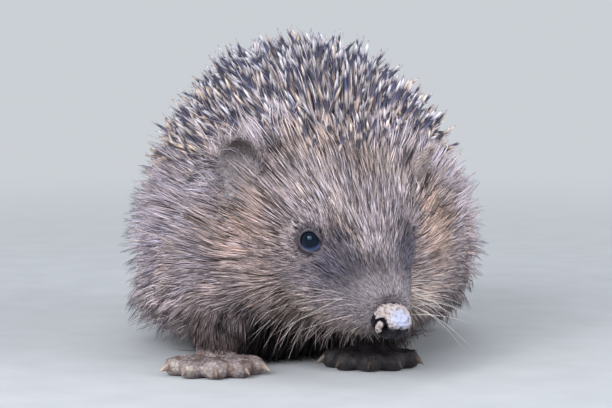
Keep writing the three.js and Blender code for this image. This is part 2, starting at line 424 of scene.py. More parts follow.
class Zone(Enum):
    """The parts of the body that the coat treats differently, with their CAD nodes."""

    HEAD = ("head", "jaw_lower")
    TRUNK = ("neck", "shoulders", "back", "rump")
    EAR = ("ear_right", "ear_left")
    LEG = ("leg_fore_right", "leg_fore_left", "leg_hind_right", "leg_hind_left")
    FOOT = ("foot_fore_right", "foot_fore_left", "foot_hind_right", "foot_hind_left")
    TAIL = ("tail",)


Zones = dict[Zone, Array]


@dataclass
class Paint:
    """One colour for each of many places, built up from the first layer to the last."""

    colour: Array

    def lay(self, amount: Array, red: int, green: int, blue: int) -> None:
        """Lay a display colour over the places by amount."""
        share = amount[:, None]
        self.colour = self.colour * (1 - share) + linear(red, green, blue) * share


@dataclass
class Lie:
    """Where the coat is long or short, which way it lies, and what it is coloured."""

    head: HeadFrame
    sockets: list[Socket]
    ears: list[EarForm]
    quill_line_front: float = -23.0
    quill_line_ear: float = -34.0
    quill_line_side: float = 46.0
    quill_line_rear: float = 31.0

    def ahead_of(self, p: Array) -> Array:
        """Return how far each place lies behind the tip of the nose along the head."""
        return self.head.nose_ahead - self.head.local(p)[:, 1]

    def quills(self, p: Array) -> Array:
        """How far places lie inside the border of the quills.

        Args:
            p: places in millimetres.

        Returns:
            Millimetres, negative outside the border.
        """
        h = self.head.local(p)
        back = ramp(np.abs(h[:, 0]), 5, 27)
        front = self.quill_line_front + (self.quill_line_ear - self.quill_line_front) * back - h[:, 1]
        line = self.quill_line_side + (self.quill_line_rear - self.quill_line_side) * ramp(p[:, 1], 10, 80)
        return np.minimum(front, p[:, 2] - line) + 2.2 * ripple(p, 12.0, 0.4)

    @staticmethod
    def chest(p: Array, zones: Zones) -> Array:
        """How much places lie on the shaded chest and belly.

        Args:
            p: places in millimetres.
            zones: how much each place belongs to each zone.

        Returns:
            A share from 0 to 1 for each place.
        """
        trunk = zones[Zone.TRUNK] * ramp(-p[:, 2], -24, -16) * ramp(-np.abs(p[:, 0] - 5), -29, -20)
        trunk = trunk * ramp(-p[:, 1], -45, -20)
        throat = zones[Zone.HEAD] * ramp(-p[:, 2], -14.5, -11.5) * ramp(p[:, 1], -74, -64)
        return trunk + throat

    def depth(self, p: Array, n: Array, zones: Zones) -> Array:
        """How far the skin lies under the outer form of the coat.

        Args:
            p: places on the outer form, in millimetres.
            n: the outward directions there.
            zones: how much each place belongs to each zone.

        Returns:
            Depth in millimetres for each place.
        """
        s = self.ahead_of(p)
        face = np.interp(s, [0, 4, 12, 24, 36, 48, 60], [0.2, 0.35, 1.0, 2.2, 3.4, 5.4, 7.2])
        for socket in self.sockets:
            far = np.linalg.norm(p - socket.centre, axis=1)
            face = face * (1 - 0.85 * spot(far / 7.5))
        face = face + 1.0 * ramp(-n[:, 2], 0.2, 0.75) * ramp(s, 16, 34)
        flank = ramp(np.abs(n[:, 0]), 0.45, 0.9)
        low = ramp(-p[:, 2], -30, -14)
        trunk = 8.0 + (4.6 + 5.0 * low) * flank - 5.6 * ramp(-p[:, 2], -24, -12) * (1 - flank)
        high = 10.0 + 2.8 * flank + 1.4 * ramp(p[:, 2], 62, 90) + 8.5 * ramp(p[:, 1], 40, 84)
        trunk = trunk + (high - trunk) * ramp(self.quills(p), -4, 6)
        trunk = np.minimum(trunk, np.interp(s, [20, 60, 70], [3.2, 7.5, 12]))
        return (
            zones[Zone.HEAD] * np.minimum(face, trunk)
            + zones[Zone.TRUNK] * trunk
            + zones[Zone.EAR] * 0.3
            + zones[Zone.LEG] * 1.7
            + zones[Zone.FOOT] * 0.2
            + zones[Zone.TAIL] * 0.8
        )

    def flow(self, p: Array, n: Array, zones: Zones) -> Array:
        """Which way the hair lies along the skin.

        Args:
            p: roots in millimetres.
            n: the skin's outward directions there.
            zones: how much each root belongs to each zone.

        Returns:
            A direction of length one along the skin for each root.
        """
        away = p - self.head.nose_tip
        reach = np.linalg.norm(away, axis=1)
        radial = away / np.maximum(reach, 1e-6)[:, None]
        back = np.stack([0.35 * np.clip(p[:, 0] / 16, -1, 1), np.ones(len(p)), np.full(len(p), -0.25)], 1)
        rear = ramp(p[:, 1], -30, 40)[:, None]
        v = radial * (1 - rear) + unit(back) * rear
        fall = (0.35 * ramp(-p[:, 2], -40, -12) * ramp(reach, 36, 70))[:, None]
        v = v + fall * np.array([0.0, 0.0, -1.0])
        leg = (zones[Zone.LEG] + zones[Zone.FOOT])[:, None]
        v = v * (1 - leg) + leg * np.array([0.0, -0.1, -1.0])
        for socket in self.sockets:
            gap = p - socket.centre
            near = spot(np.linalg.norm(gap, axis=1) / 5.5)[:, None]
            v = v + 1.3 * near * unit(gap)
        for ear in self.ears:
            near = ear.weight(p)[:, None]
            v = v * (1 - near) + near * unit(p - ear.root)
        tail = zones[Zone.TAIL][:, None]
        v = v * (1 - tail) + tail * np.array([0.0, 0.8, -0.6])
        wander = np.radians(9.0) * ripple(p, 17.0, 1.1) + np.radians(5.0) * ripple(p, 6.0, 2.3)
        v = unit(v - (v * n).sum(1, keepdims=True) * n)
        return v * np.cos(wander)[:, None] + np.cross(n, v) * np.sin(wander)[:, None]

    def ear_room(self, p: Array) -> Array:
        """How short the hair stays before the cup of the ear turned forward.

        Args:
            p: places in millimetres.

        Returns:
            The share of its length that hair keeps at each place.
        """
        ear, margin = self.ears[0], 3
        gap = p - ear.centre
        wide, tall = ear.half_width + margin, ear.half_height + margin
        across = np.hypot(gap @ ear.across / wide, gap @ ear.rise / tall)
        front = ramp(gap @ ear.face, -3.0, 1.0) * ramp(-(gap @ ear.face), -14.0, -8.0)
        return 1 - 0.22 * front * ramp(-across, -1.15, -0.75)

    def ear_cover(self, p: Array) -> Array:
        """Where hair stands up before the inner side of the ear turned forward.

        Args:
            p: places in millimetres.

        Returns:
            A share from 0 to 1 for each place.
        """
        ear = self.ears[0]
        middle = ear.centre - ear.across * 7.5 + ear.face * 2.0 - ear.rise * 3.0
        return spot(np.linalg.norm(p - middle, axis=1) / 7.0)

    def colour(self, p: Array, zones: Zones) -> Array:
        """The colour of the tips of the coat, the same for skin, fur and quills.

        Args:
            p: places in millimetres.
            zones: how much each place belongs to each zone.

        Returns:
            One linear colour for each place.
        """
        paint = Paint(np.tile(linear(208, 195, 203), (len(p), 1)))
        # Paler and bluer further back from the nose: the body's own colour, tinted bluish as painted sky
        # light.
        paint.lay(ramp(self.ahead_of(p), 34, 70) * 0.8, 216, 206, 219)
        paint.lay(ramp(ripple(p, 23.0, 3.1), 0.0, 0.9) * 0.45, 222, 196, 184)
        self.paint_face(paint, p)
        self.paint_underside(paint, p, zones)
        self.paint_ears(paint, p, zones[Zone.EAR])
        paint.lay(zones[Zone.TAIL] * 0.8, 130, 112, 104)
        self.paint_lids(paint, p)
        return paint.colour

    def paint_face(self, paint: Paint, p: Array) -> None:
        """Lay on the markings from the cheeks and crown to the bridge of the muzzle, with painted shade on
        the crown, the bridge and round the left eye, and painted light on the left brow.

        Args:
            paint: the colours of the places so far.
            p: places in millimetres.
        """
        right, ahead, up = self.head.local(p).T
        side, s, above = np.abs(right), self.ahead_of(p), ramp(up, 0, 5)
        cheeks = spot((right - 27) / 9, (ahead + 12) / 11, (up + 7) / 12)
        cheeks += spot((right + 27) / 9, (ahead + 14) / 11, (up + 5) / 12)
        paint.lay(np.clip(cheeks, 0, 1) * 0.85, 240, 208, 192)
        # The crown: its browner colour, darkened further as painted shade where the light from above falls
        # strongest.
        crown = spot(right / 16, (ahead + 22) / 9) * ramp(up, 0, 8)
        paint.lay(crown * 0.6, 200, 178, 166)
        stripe = spot(side / 4, (ahead + 15) / 8) * above
        paint.lay(stripe * 0.5, 138, 124, 128)
        # Pale streaks along the brows; the stronger one on the left is also painted light over the brow
        # where it turns away from the lamps.
        across, along = np.where(right > 0, 8.5, 12.5), np.where(right > 0, -5.0, -13.0)
        streak = spot((side - across) / 3.6, (ahead - along) / 6) * above
        paint.lay(streak * np.where(right > 0, 0.42, 0.7), 244, 231, 235)
        between = ramp(-side, -11, -7) * spot((ahead - 8.0) / 3.0) * above
        paint.lay(between * 0.25, 240, 230, 236)
        beside = side - np.interp(ahead, [-2, 8, 16], [11.0, 8.8, 7.0])
        mask = spot(beside / 4.0, (ahead - 7.0) / 8.5, (up - 2) / 7)
        paint.lay(np.clip(1.5 * mask, 0, 0.74), 86, 88, 114)
        # The dark bridge of the muzzle, darkened further as painted shade where the light from above falls
        # on it, more on the right.
        bridge = ramp(-side, -12, -7) * spot((ahead - 14.5) / 4.5) * ramp(up, -6, 0)
        paint.lay(bridge * np.where(right > 0, 0.85, 0.6), 86, 82, 93)
        brow = spot((side - 10.5) / 2.2, (ahead - 1.0) / 2.5) * ramp(up, 2, 7)
        paint.lay(brow * 0.7, 96, 82, 78)
        # Painted shade in the hollow round the sunk left eye.
        hollow = spot((right + 17) / 4.5, (ahead - 5) / 5, (up + 1) / 7)
        paint.lay(hollow * 0.7, 90, 96, 128)
        paint.lay(ramp(-s, -17, -6) * ramp(up, -10, -6) * 0.75, 172, 166, 177)

    def paint_underside(self, paint: Paint, p: Array, zones: Zones) -> None:
        """Lay on the jaw, the painted shade of the chest and belly, the legs, the mottled feet, the pale
        skin round the nose pad and the painted shade over the left forefoot.

        Args:
            paint: the colours of the places so far.
            p: places in millimetres.
            zones: how much each place belongs to each zone.
        """
        s, z = self.ahead_of(p), p[:, 2]
        head, leg, foot = zones[Zone.HEAD], zones[Zone.LEG], zones[Zone.FOOT]
        low = ramp(-z, -34, -14) * (1 - 0.7 * ramp(-s, -50, -20))
        paint.lay(low * 0.35, 196, 172, 160)
        jaw = head * spot((z - np.interp(s, [12, 24], [13.0, 21.0])) / 5)
        jaw = jaw * ramp(s, 2, 8) * ramp(-s, -42, -32)
        paint.lay(jaw * 0.7, 244, 224, 214)
        # Painted shade: the chest and belly, in the shadow under the head and body, laid on near black.
        paint.lay(self.chest(p, zones) * 0.97, 30, 26, 28)
        paint.lay(leg * 0.9, 128, 114, 116)
        paint.lay(foot, 146, 134, 136)
        paint.lay(foot * ramp(ripple(p, 6.5, 0.9), 0.0, 0.4) * 0.75, 186, 174, 168)
        paint.lay(foot * ramp(ripple(p, 5.0, 2.1), 0.05, 0.45) * 0.75, 104, 78, 68)
        # Pale skin round the nose pad, painted lighter also as light over the shade in the crease between
        # the pad and the fur.
        paint.lay(head * ramp(-s, -3.0, -1.2) * 0.6, 186, 172, 174)
        # Painted shade over the left forefoot and its leg, under the head.
        shaded = (foot + leg) * ramp(p[:, 0], -2, 4) * ramp(-p[:, 1], 0, 20)
        paint.lay(shaded * 0.95, 20, 18, 22)

    def paint_ears(self, paint: Paint, p: Array, share: Array) -> None:
        """Lay on each ear's colour, the painted shade under the top of its cup and in its fold, and its
        pale rim.

        Args:
            paint: the colours of the places so far.
            p: places in millimetres.
            share: how much each place belongs to the ears.
        """
        paint.lay(share * 0.9, 160, 153, 158)
        for ear in self.ears:
            u, w, _ = ear.local(p)
            far = np.hypot(u, w)
            # Painted shade inside the top of the cup, under the rim that curls over.
            high = ramp(w, 0.15, 0.5) * ramp(-far, -0.98, -0.8)
            paint.lay(share * high * 0.75, 92, 78, 74)
            # Painted shade in the fold low in the cup.
            fold = spot((u + 0.05) / 0.3, (w + 0.35) / 0.25)
            paint.lay(share * fold * 0.6, 92, 84, 82)
            rim = spot((far - 0.97) / 0.07) * ramp(u, -0.3, 0.3)
            paint.lay(share * rim * 0.8, 206, 200, 212)
        paint.lay(share * ramp(p[:, 0], 0, 4) * 0.7, 214, 200, 200)

    def paint_lids(self, paint: Paint, p: Array) -> None:
        """Lay on the lids, darker towards their rims, and the pale inner corners.

        Args:
            paint: the colours of the places so far.
            p: places in millimetres.
        """
        for socket in self.sockets:
            _, _, past, angle = socket.measure(p)
            near = socket.near(p)
            paint.lay(near * ramp(-past, -2.1, -1.0) * 0.5, 98, 92, 102)
            paint.lay(near * ramp(-past, -1.3, -0.8) * 0.6, 74, 68, 80)
            paint.lay(near * ramp(-past, -0.5, -0.2) * 0.85, 38, 34, 44)
            lower = spot((angle - 60) / 55)
            paint.lay(near * spot((past - 0.1) / 0.2) * lower * 0.9, 150, 146, 170)
            paint.lay(near * spot(past / 0.6, angle / 15), 196, 178, 180)


# ---------------------------------------------------------------- shader nodes


def feed(made: bpy.types.Node, inputs: dict[str, object]) -> None:
    """Link sockets to a node's inputs, or set plain values on them.

    Args:
        made: the node.
        inputs: sockets or values, by the input's name or number.
    """
    for key, value in inputs.items():
        socket = made.inputs[int(key)] if key.isdigit() else made.inputs[key]
        if isinstance(value, Plug):
            made.id_data.links.new(value, socket)
        else:
            socket.default_value = value


def node(
    tree: Tree, kind: str, inputs: dict[str, object] | None = None, **values: object
) -> bpy.types.Node:
    """Add a shader node.

    Args:
        tree: the tree it goes in.
        kind: the node's type, without the ShaderNode prefix.
        inputs: sockets or plain values for its inputs, by the input's name or number.
        values: settings of the node itself.

    Returns:
        The new node.
    """
    made = tree.nodes.new("ShaderNode" + kind)
    for key, value in values.items():
        setattr(made, key, value)
    feed(made, inputs or {})
    return made


def attribute(tree: Tree, name: str, output: str = "Fac") -> Plug:
    """Return the value, or the Color, stored under a name on the mesh."""
    return node(tree, "Attribute", attribute_name=name).outputs[output]


def own_place(tree: Tree) -> Plug:
    """Return the place on the object itself."""
    return node(tree, "TexCoord").outputs["Object"]


def reckon(tree: Tree, operation: str, a: object, b: object) -> Plug:
    """Return what a sum with two numbers or sockets comes to."""
    return node(tree, "Math", {"0": a, "1": b}, operation=operation).outputs[0]


def remap(
    tree: Tree,
    value: Plug,
    source: tuple[float, float] = (0.0, 1.0),
    target: tuple[float, float] = (0.0, 1.0),
    **values: object,
) -> Plug:
    """Return a value moved from the source range to the target range."""
    ends = {"From Min": source[0], "From Max": source[1], "To Min": target[0], "To Max": target[1]}
    return node(tree, "MapRange", {"Value": value, **ends}, **values).outputs[0]


def lighten(tree: Tree, colour: Plug, level: object) -> Plug:
    """Return a colour made level times as light."""
    return node(tree, "HueSaturation", {"Color": colour, "Value": level}).outputs["Color"]


def blend(
    tree: Tree, share: object, first: object, second: object, kind: str = "MIX"
) -> Plug:
    """Return the first colour with a share of the second."""
    inputs = {"Factor": share, "6": first, "7": second}
    return node(tree, "Mix", inputs, data_type="RGBA", blend_type=kind).outputs[2]


def ramp_of(tree: Tree, factor: Plug, stops: Stops) -> Plug:
    """Add a colour ramp.

    Args:
        tree: the tree that the nodes go in.
        factor: the place on the ramp.
        stops: places from 0 to 1 with their display colours.

    Returns:
        The colour at the factor.
    """
    made = node(tree, "ValToRGB", {"Fac": factor})
    elements = made.color_ramp.elements
    while len(elements) < len(stops):
        elements.new(0.5)
    for element, (place, shade) in zip(elements, stops):
        element.position = place
        element.color = opaque(*shade)
    return made.outputs["Color"]


def blank_material(name: str) -> tuple[Material, Tree, bpy.types.Node]:
    """Start a material.

    Args:
        name: its name.

    Returns:
        The material, its tree and its Principled shader.
    """
    material = bpy.data.materials.new(name)
    material.use_nodes = True
    tree = material.node_tree
    return material, tree, tree.nodes["Principled BSDF"]


@dataclass(frozen=True)
class FineGrain:
    """A shader group that breaks a colour up with grain of a given size."""

    name: str = "fine_grain"

    def group(self) -> Tree:
        """Build the group, once.

        Returns:
            The group's tree.
        """
        if self.name in bpy.data.node_groups:
            return bpy.data.node_groups[self.name]
        tree = bpy.data.node_groups.new(self.name, "ShaderNodeTree")
        face = tree.interface
        face.new_socket("Colour", in_out="INPUT", socket_type="NodeSocketColor")
        for name in ("Scale", "Amount"):
            face.new_socket(name, in_out="INPUT", socket_type="NodeSocketFloat")
        face.new_socket("Colour", in_out="OUTPUT", socket_type="NodeSocketColor")
        inner = tree.nodes.new("NodeGroupInput").outputs
        outer = tree.nodes.new("NodeGroupOutput")
        noise = {"Vector": own_place(tree), "Scale": inner["Scale"], "Detail": 4.0}
        centred = reckon(tree, "SUBTRACT", node(tree, "TexNoise", noise).outputs["Fac"], 0.5)
        swing = reckon(tree, "MULTIPLY", centred, inner["Amount"])
        shade = lighten(tree, inner["Colour"], reckon(tree, "ADD", swing, 1.0))
        feed(outer, {"Colour": shade})
        return tree

    def over(
        self, tree: Tree, colour: Plug, scale: float, amount: float
    ) -> Plug:
        """Return a colour with the grain over it."""
        inputs = {"Colour": colour, "Scale": scale, "Amount": amount}
        return node(tree, "Group", inputs, node_tree=self.group()).outputs["Colour"]


# ---------------------------------------------------------------- finishes


@dataclass(frozen=True)
class HairFinish:
    """Hair that is pale towards its tip and dark at its root, its own darker base deepened as painted
    shade within the coat.
    """

    name: str
    root: Rgb = (42, 38, 50)
    middle: float = 0.55
    dark: float = 0.1
    light: float = 1.35
    rough: float = 0.55

    def make(self) -> Material:
        """Build the material from the strand's place along, its tint and the coat's colour.

        Returns:
            The material.
        """
        material, tree, shader = blank_material(self.name)
        level = remap(tree, attribute(tree, "tint"), target=(self.dark, self.light))
        shade = lighten(tree, attribute(tree, "coat", "Color"), level)
        # Darker towards the root: partly the hair's own colour, partly painted shade deep in the coat.
        rise = remap(tree, attribute(tree, "along"), source=(0.0, self.middle))
        feed(shader, {"Base Color": blend(tree, rise, opaque(*self.root), shade)})
        feed(shader, {"Roughness": self.rough, "Specular IOR Level": 0.3})
        return material


@dataclass(frozen=True)
class QuillFinish:
    """Quills with a pale shaft, a dark band below the tip and a white tip."""

    name: str = "banded_quill"
    slide: float = 0.09  # how far the bands differ in place from quill to quill
    bands: Stops = (
        (0.0, (84, 76, 80)),
        (0.3, (196, 182, 172)),
        (0.46, (206, 190, 178)),
        (0.56, (92, 90, 110)),
        (0.74, (62, 62, 82)),
        (0.82, (190, 182, 178)),
        (0.93, (232, 226, 222)),
        (1.0, (196, 186, 184)),
    )

    def make(self) -> Material:
        """Build the material from the quill's place along and its tint.

        Returns:
            The material.
        """
        material, tree, shader = blank_material(self.name)
        slide = remap(tree, attribute(tree, "tint"), target=(-self.slide, self.slide))
        bands = ramp_of(tree, reckon(tree, "ADD", attribute(tree, "along"), slide), self.bands)
        shade = blend(tree, 1.0, bands, attribute(tree, "coat", "Color"), "MULTIPLY")
        feed(shader, {"Base Color": FineGrain().over(tree, shade, 900.0, 0.3), "Roughness": 0.38})
        return material


@dataclass(frozen=True)
class SkinFinish:
    """Skin under the coat: darkened where fur grows, as painted shade in the gaps between the hairs, bare
    and granular on the feet.
    """

    name: str = "skin"

    def make(self) -> Material:
        """Build the material from the coat's colour and how bare the skin is.

        Returns:
            The material.
        """
        material, tree, shader = blank_material(self.name)
        bare = attribute(tree, "bare")
        # Where fur grows the skin keeps only 0.12 of its colour, as painted shade between the hairs.
        shade = lighten(tree, attribute(tree, "coat", "Color"), remap(tree, bare, target=(0.12, 1.0)))
        grain = FineGrain().over(tree, shade, 900.0, 1.5)
        scales = {"Vector": own_place(tree), "Scale": 850.0}
        edge = node(tree, "TexVoronoi", scales, feature="DISTANCE_TO_EDGE").outputs["Distance"]
        calm = remap(tree, bare, (0.91, 0.99), (1.0, 0.0))
        crack = reckon(tree, "MAXIMUM", remap(tree, edge, (0.0, 0.2), (0.62, 1.0)), calm)
        strength = remap(tree, calm, target=(0.7, 0.1))
        bump = node(tree, "Bump", {"Height": edge, "Strength": strength, "Distance": 0.0004})
        feed(shader, {"Base Color": lighten(tree, grain, crack), "Roughness": 0.62})
        feed(shader, {"Normal": bump.outputs["Normal"]})
        return material


@dataclass(frozen=True)
class EyeFinish:
    """A dark, wet eye with a bluish white rim beyond the iris, darker next to the iris as painted shade of
    the lids.
    """

    name: str = "wet_eye"
    # The rim goes from dark next to the iris, as painted shade of the lids, to lighter further out, where
    # the lower white of the eye is lit.
    rings: Stops = (
        (0.0, (3, 3, 5)),
        (0.39, (5, 6, 11)),
        (0.46, (46, 56, 92)),
        (0.56, (104, 120, 164)),
        (0.72, (146, 158, 194)),
        (1.0, (160, 156, 168)),
    )

    def make(self) -> Material:
        """Build the material from the angle away from the middle of the pupil.

        Returns:
            The material.
        """
        material, tree, shader = blank_material(self.name)
        feed(shader, {"Base Color": ramp_of(tree, attribute(tree, "gaze"), self.rings)})
        feed(shader, {"Roughness": 0.05, "Specular IOR Level": 0.45})
        feed(shader, {"Specular Tint": (0.42, 0.64, 1.0, 1.0)})
        return material


@dataclass(frozen=True)
class NoseFinish:
    """Moist black nose skin with a pale crust on its top and front, and a painted bluish-white highlight
    on the crust where it faces up and forward.
    """

    name: str = "nose_skin"
    # Bluish white of the painted highlight on the crust.
    white: Rgb = (182, 190, 220)
    cream: Stops = (
        (0.3, (17, 13, 22)),
        (0.48, (70, 60, 66)),
        (0.68, (150, 138, 136)),
        (1.0, (188, 176, 176)),
    )

    def make(self) -> Material:
        """Build the material from how crusted and how white the place is.

        Returns:
            The material.
        """
        material, tree, shader = blank_material(self.name)
        place = own_place(tree)
        noise = node(tree, "TexNoise", {"Vector": place, "Scale": 1100.0, "Detail": 5.0})
        swing = reckon(tree, "MULTIPLY", reckon(tree, "ADD", noise.outputs["Fac"], -0.5), 2.0)
        edge = reckon(tree, "ADD", attribute(tree, "crust"), swing)
        # Painted highlight: bluish white laid over the crust where the white value is high.
        paler = remap(tree, reckon(tree, "ADD", attribute(tree, "white"), swing), (0.05, 1.1))
        share = reckon(tree, "MULTIPLY", paler, remap(tree, edge, (0.5, 0.7)))
        shade = blend(tree, share, ramp_of(tree, edge, self.cream), opaque(*self.white))
        cells = node(tree, "TexVoronoi", {"Vector": place, "Scale": 1900.0}).outputs["Distance"]
        bump = node(tree, "Bump", {"Height": cells, "Strength": 0.6, "Distance": 0.0004})
        rough = remap(tree, edge, (0.3, 0.6), (0.42, 0.62))
        feed(shader, {"Base Color": shade, "Roughness": rough, "Specular IOR Level": 0.22})
        feed(shader, {"Normal": bump.outputs["Normal"]})
        return material


@dataclass(frozen=True)
class HornFinish:
    """Horn of the claws, darker at the root."""

    name: str = "claw_horn"
    root: Rgb = (110, 94, 90)
    middle: Rgb = (150, 132, 124)
    tip: Rgb = (206, 188, 172)

    def make(self) -> Material:
        """Build the material from the place along the claw.

        Returns:
            The material.
        """
        material, tree, shader = blank_material(self.name)
        stops = ((0.0, self.root), (0.5, self.middle), (1.0, self.tip))
        shade = ramp_of(tree, attribute(tree, "along"), stops)
        feed(shader, {"Base Color": FineGrain().over(tree, shade, 1500.0, 0.35), "Roughness": 0.4})
        return material


# ---------------------------------------------------------------- skin


def claw_axis(foot: str, number: int) -> tuple[Array, Array]:
    """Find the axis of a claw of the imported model.

    Args:
        foot: the foot it is on.
        number: its number on that foot.

    Returns:
        Its root and the way from there to its tip, in metres.
    """
    low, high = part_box(f"foot_{foot}")
    middle = np.array((low + high) / 2)
    co = np.array([v.co for v in bpy.data.objects[f"claw_{foot}_{number}"].data.vertices])
    far = np.linalg.norm((co - middle)[:, :2], axis=1)
    slice_depth = 0.0009
    root = co[far < far.min() + slice_depth].mean(0)
    return root, co[np.argmax(far)] - root


@dataclass
class Roots:
    """Places on the skin where hair grows."""

    place: Array
    normal: Array
    uv: Array
    zones: Zones

    def pick(self, which: Array) -> "Roots":
        """Return only some of the roots."""
        zones = {zone: value[which] for zone, value in self.zones.items()}
        return Roots(self.place[which], self.normal[which], self.uv[which], zones)


@dataclass
class Skin:
    """The one skin under the whole coat."""

    head: HeadFrame
    lie: Lie
    coarse: float = 0.95
    fine: float = 0.99
    gap: float = 0.2
    lid_rim: float = 0.2
    toe: Place = (0.0033, 0.0060, 0.0029)
    toe_fullness: float = 0.62
    toe_reach: float = -3.5
    middle_reach: float = -2.9
    out_of_reach: float = 50.0
    sole: float = 1.0
    lid_ball: float = 3.8
    lid_edge: float = 3.3

    def build(self) -> Object:
        """Build the skin inside the fleshy nodes and replace them.

        Returns:
            The skin.
        """
        whole, inner, zones = self.under_coat()
        self.toes(whole)
        for ear in self.lie.ears:
            take(whole, ear.form())
        mesh = self.remesh(whole, self.fine)
        mesh.name = "skin"
        self.soften(mesh)
        self.refine(mesh)
        co, _ = self.read(mesh)
        self.zones = self.carry_zones(co, inner, zones)
        co = self.shape_lids(co)
        self.write(mesh, co)
        self.unwrap(mesh)
        set_value(mesh, "coat", self.lie.colour(co, self.zones))
        set_value(mesh, "bare", self.bareness(co))
        self.mesh = mesh
        obj = finish_object("skin", mesh, SkinFinish().make())
        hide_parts(*[name for zone in Zone for name in zone.value])
        return obj

    def under_coat(self) -> tuple[BMesh, Array, Zones]:
        """Join the fleshy nodes and draw them in by the depth of the coat.

        Returns:
            The form, the places of its vertices in millimetres and their zones.
        """
        mesh = self.remesh(self.flesh(), self.coarse)
        outer, normal = self.read(mesh)
        self.edges = fetch(mesh.edges, "vertices", 2, np.int32)
        zones = self.weigh_zones(outer)
        normal = unit(self.relax(normal, 4))
        depth = self.relax(self.lie.depth(outer, normal, zones), 10)
        inner = outer - normal * depth[:, None]
        inner = inner + (self.relax(inner, 8) - inner) * (1 - zones[Zone.FOOT] * 0.7)[:, None]
        self.write(mesh, inner)
        form = bmesh.new()
        form.from_mesh(mesh)
        bpy.data.meshes.remove(mesh)
        return form, inner, zones

    def soften(self, mesh: Mesh) -> None:
        """Smooth away the steps of the voxels, most on the feet, and thin the ears.

        Args:
            mesh: the skin's mesh.
        """
        self.edges = fetch(mesh.edges, "vertices", 2, np.int32)
        co, _ = self.read(mesh)
        soft = self.relax(co, 2)
        soft = soft + (self.relax(co, 6) - soft) * ramp(-co[:, 2], -9, -6)[:, None]
        sole = co[:, 2] < self.sole
        soft[:, 2] = np.where(sole, np.minimum(soft[:, 2], co[:, 2]), soft[:, 2])
        for ear in self.lie.ears:
            soft = ear.thin(soft)
        soft[:, 2] = np.maximum(soft[:, 2], 0.0)
        self.write(mesh, soft)

    def toes(self, whole: BMesh) -> None:
        """Add the swollen ends of the toes, which reach over the roots of the claws.

        Args:
            whole: the form that they are added to.
        """
        for foot, i in product(FEET, TOES):
            root, out = claw_axis(foot, i)
            flat = unit(np.array([out[0], out[1], 0.0]))
            heading = Vector(flat).to_track_quat("Y", "Z").to_matrix().to_4x4()
            reach = self.toe_reach if i in (TOES[0], TOES[-1]) else self.middle_reach
            middle = Vector(root + flat * reach * MM)
            middle.z = self.toe[2] * 0.92
            size = Matrix.Diagonal((*self.toe, 1.0))
            made = bmesh.ops.create_icosphere(whole, subdivisions=4, radius=1.0)
            place = Matrix.Translation(middle) @ heading @ size
            for v in made["verts"]:
                v.co = place @ Vector([math.copysign(abs(c) ** self.toe_fullness, c) for c in v.co])

    def flesh(self) -> BMesh:
        """Join the fleshy nodes, swollen a little so that no gaps stay between them.

        Returns:
            The overlapping solids.
        """
        whole = bmesh.new()
        for zone in Zone:
            for name in zone.value if zone is not Zone.EAR else ():
                part = bmesh.new()
                part.from_mesh(bpy.data.objects[name].data)
                bmesh.ops.remove_doubles(part, verts=part.verts, dist=1e-6)
                part.normal_update()
                for v in part.verts:
                    v.co += v.normal * self.gap * MM
                take(whole, part)
        return whole

    @staticmethod
    def remesh(whole: BMesh, voxel: float) -> Mesh:
        """Make one even mesh of the outside of overlapping solids.

        Args:
            whole: the solids, which are used up.
            voxel: how fine the mesh is, in millimetres.

        Returns:
            The new mesh.
        """
        obj = put("merged", mesh_of(whole, "merged"))
        modifier = obj.modifiers.new("voxels", "REMESH")
        modifier.mode = "VOXEL"
        modifier.voxel_size = voxel * MM
        graph = bpy.context.evaluated_depsgraph_get()
        made = bpy.data.meshes.new_from_object(obj.evaluated_get(graph))
        bpy.data.objects.remove(obj)
        return made

    @staticmethod
    def read(mesh: Mesh) -> tuple[Array, Array]:
        """Return a mesh's places in millimetres and its outward directions."""
        co = fetch(mesh.vertices, "co", 3).astype(float) / MM
        return co, fetch(mesh.vertex_normals, "vector", 3).astype(float)

    @staticmethod
    def write(mesh: Mesh, co: Array) -> None:
        """Move a mesh's vertices to places in millimetres."""
        mesh.vertices.foreach_set("co", (co * MM).ravel())
        mesh.update()

    def relax(self, values: Array, rounds: int) -> Array:
        """Average each vertex's value with its neighbours'.

        Args:
            values: one number or one row for each vertex.
            rounds: how many times.

        Returns:
            The smoothed values.
        """
        a, b = self.edges.T
        size = len(values)
        count = np.maximum(np.bincount(a, minlength=size) + np.bincount(b, minlength=size), 1)
        flat = values.reshape(size, -1).copy()
        for _ in range(rounds):
            for k in range(flat.shape[1]):
                column = flat[:, k]
                total = np.bincount(a, column[b], size) + np.bincount(b, column[a], size)
                flat[:, k] = 0.5 * column + 0.5 * total / count
        return flat.reshape(values.shape)

    def weigh_zones(self, co: Array, reach: float = 0.5) -> Zones:
        """How much each place on the outer form belongs to each zone.

        Args:
            co: places in millimetres.
            reach: how softly one zone passes into the next.

        Returns:
            Shares that add up to one at each place.
        """
        gaps = []
        for zone in Zone:
            bm = bmesh.new()
            for name in zone.value:
                bm.from_mesh(bpy.data.objects[name].data)
            tree = BVHTree.FromBMesh(bm)
            found = [tree.find_nearest(p, self.out_of_reach * MM)[3] for p in (co * MM).tolist()]
            gaps.append([self.out_of_reach if gap is None else gap / MM for gap in found])
            bm.free()
        gaps = np.array(gaps)
        gaps[list(Zone).index(Zone.EAR)] = self.out_of_reach
        share = np.exp(-(gaps - gaps.min(0)) / reach)
        share /= share.sum(0)
        return {zone: share[i] for i, zone in enumerate(Zone)}

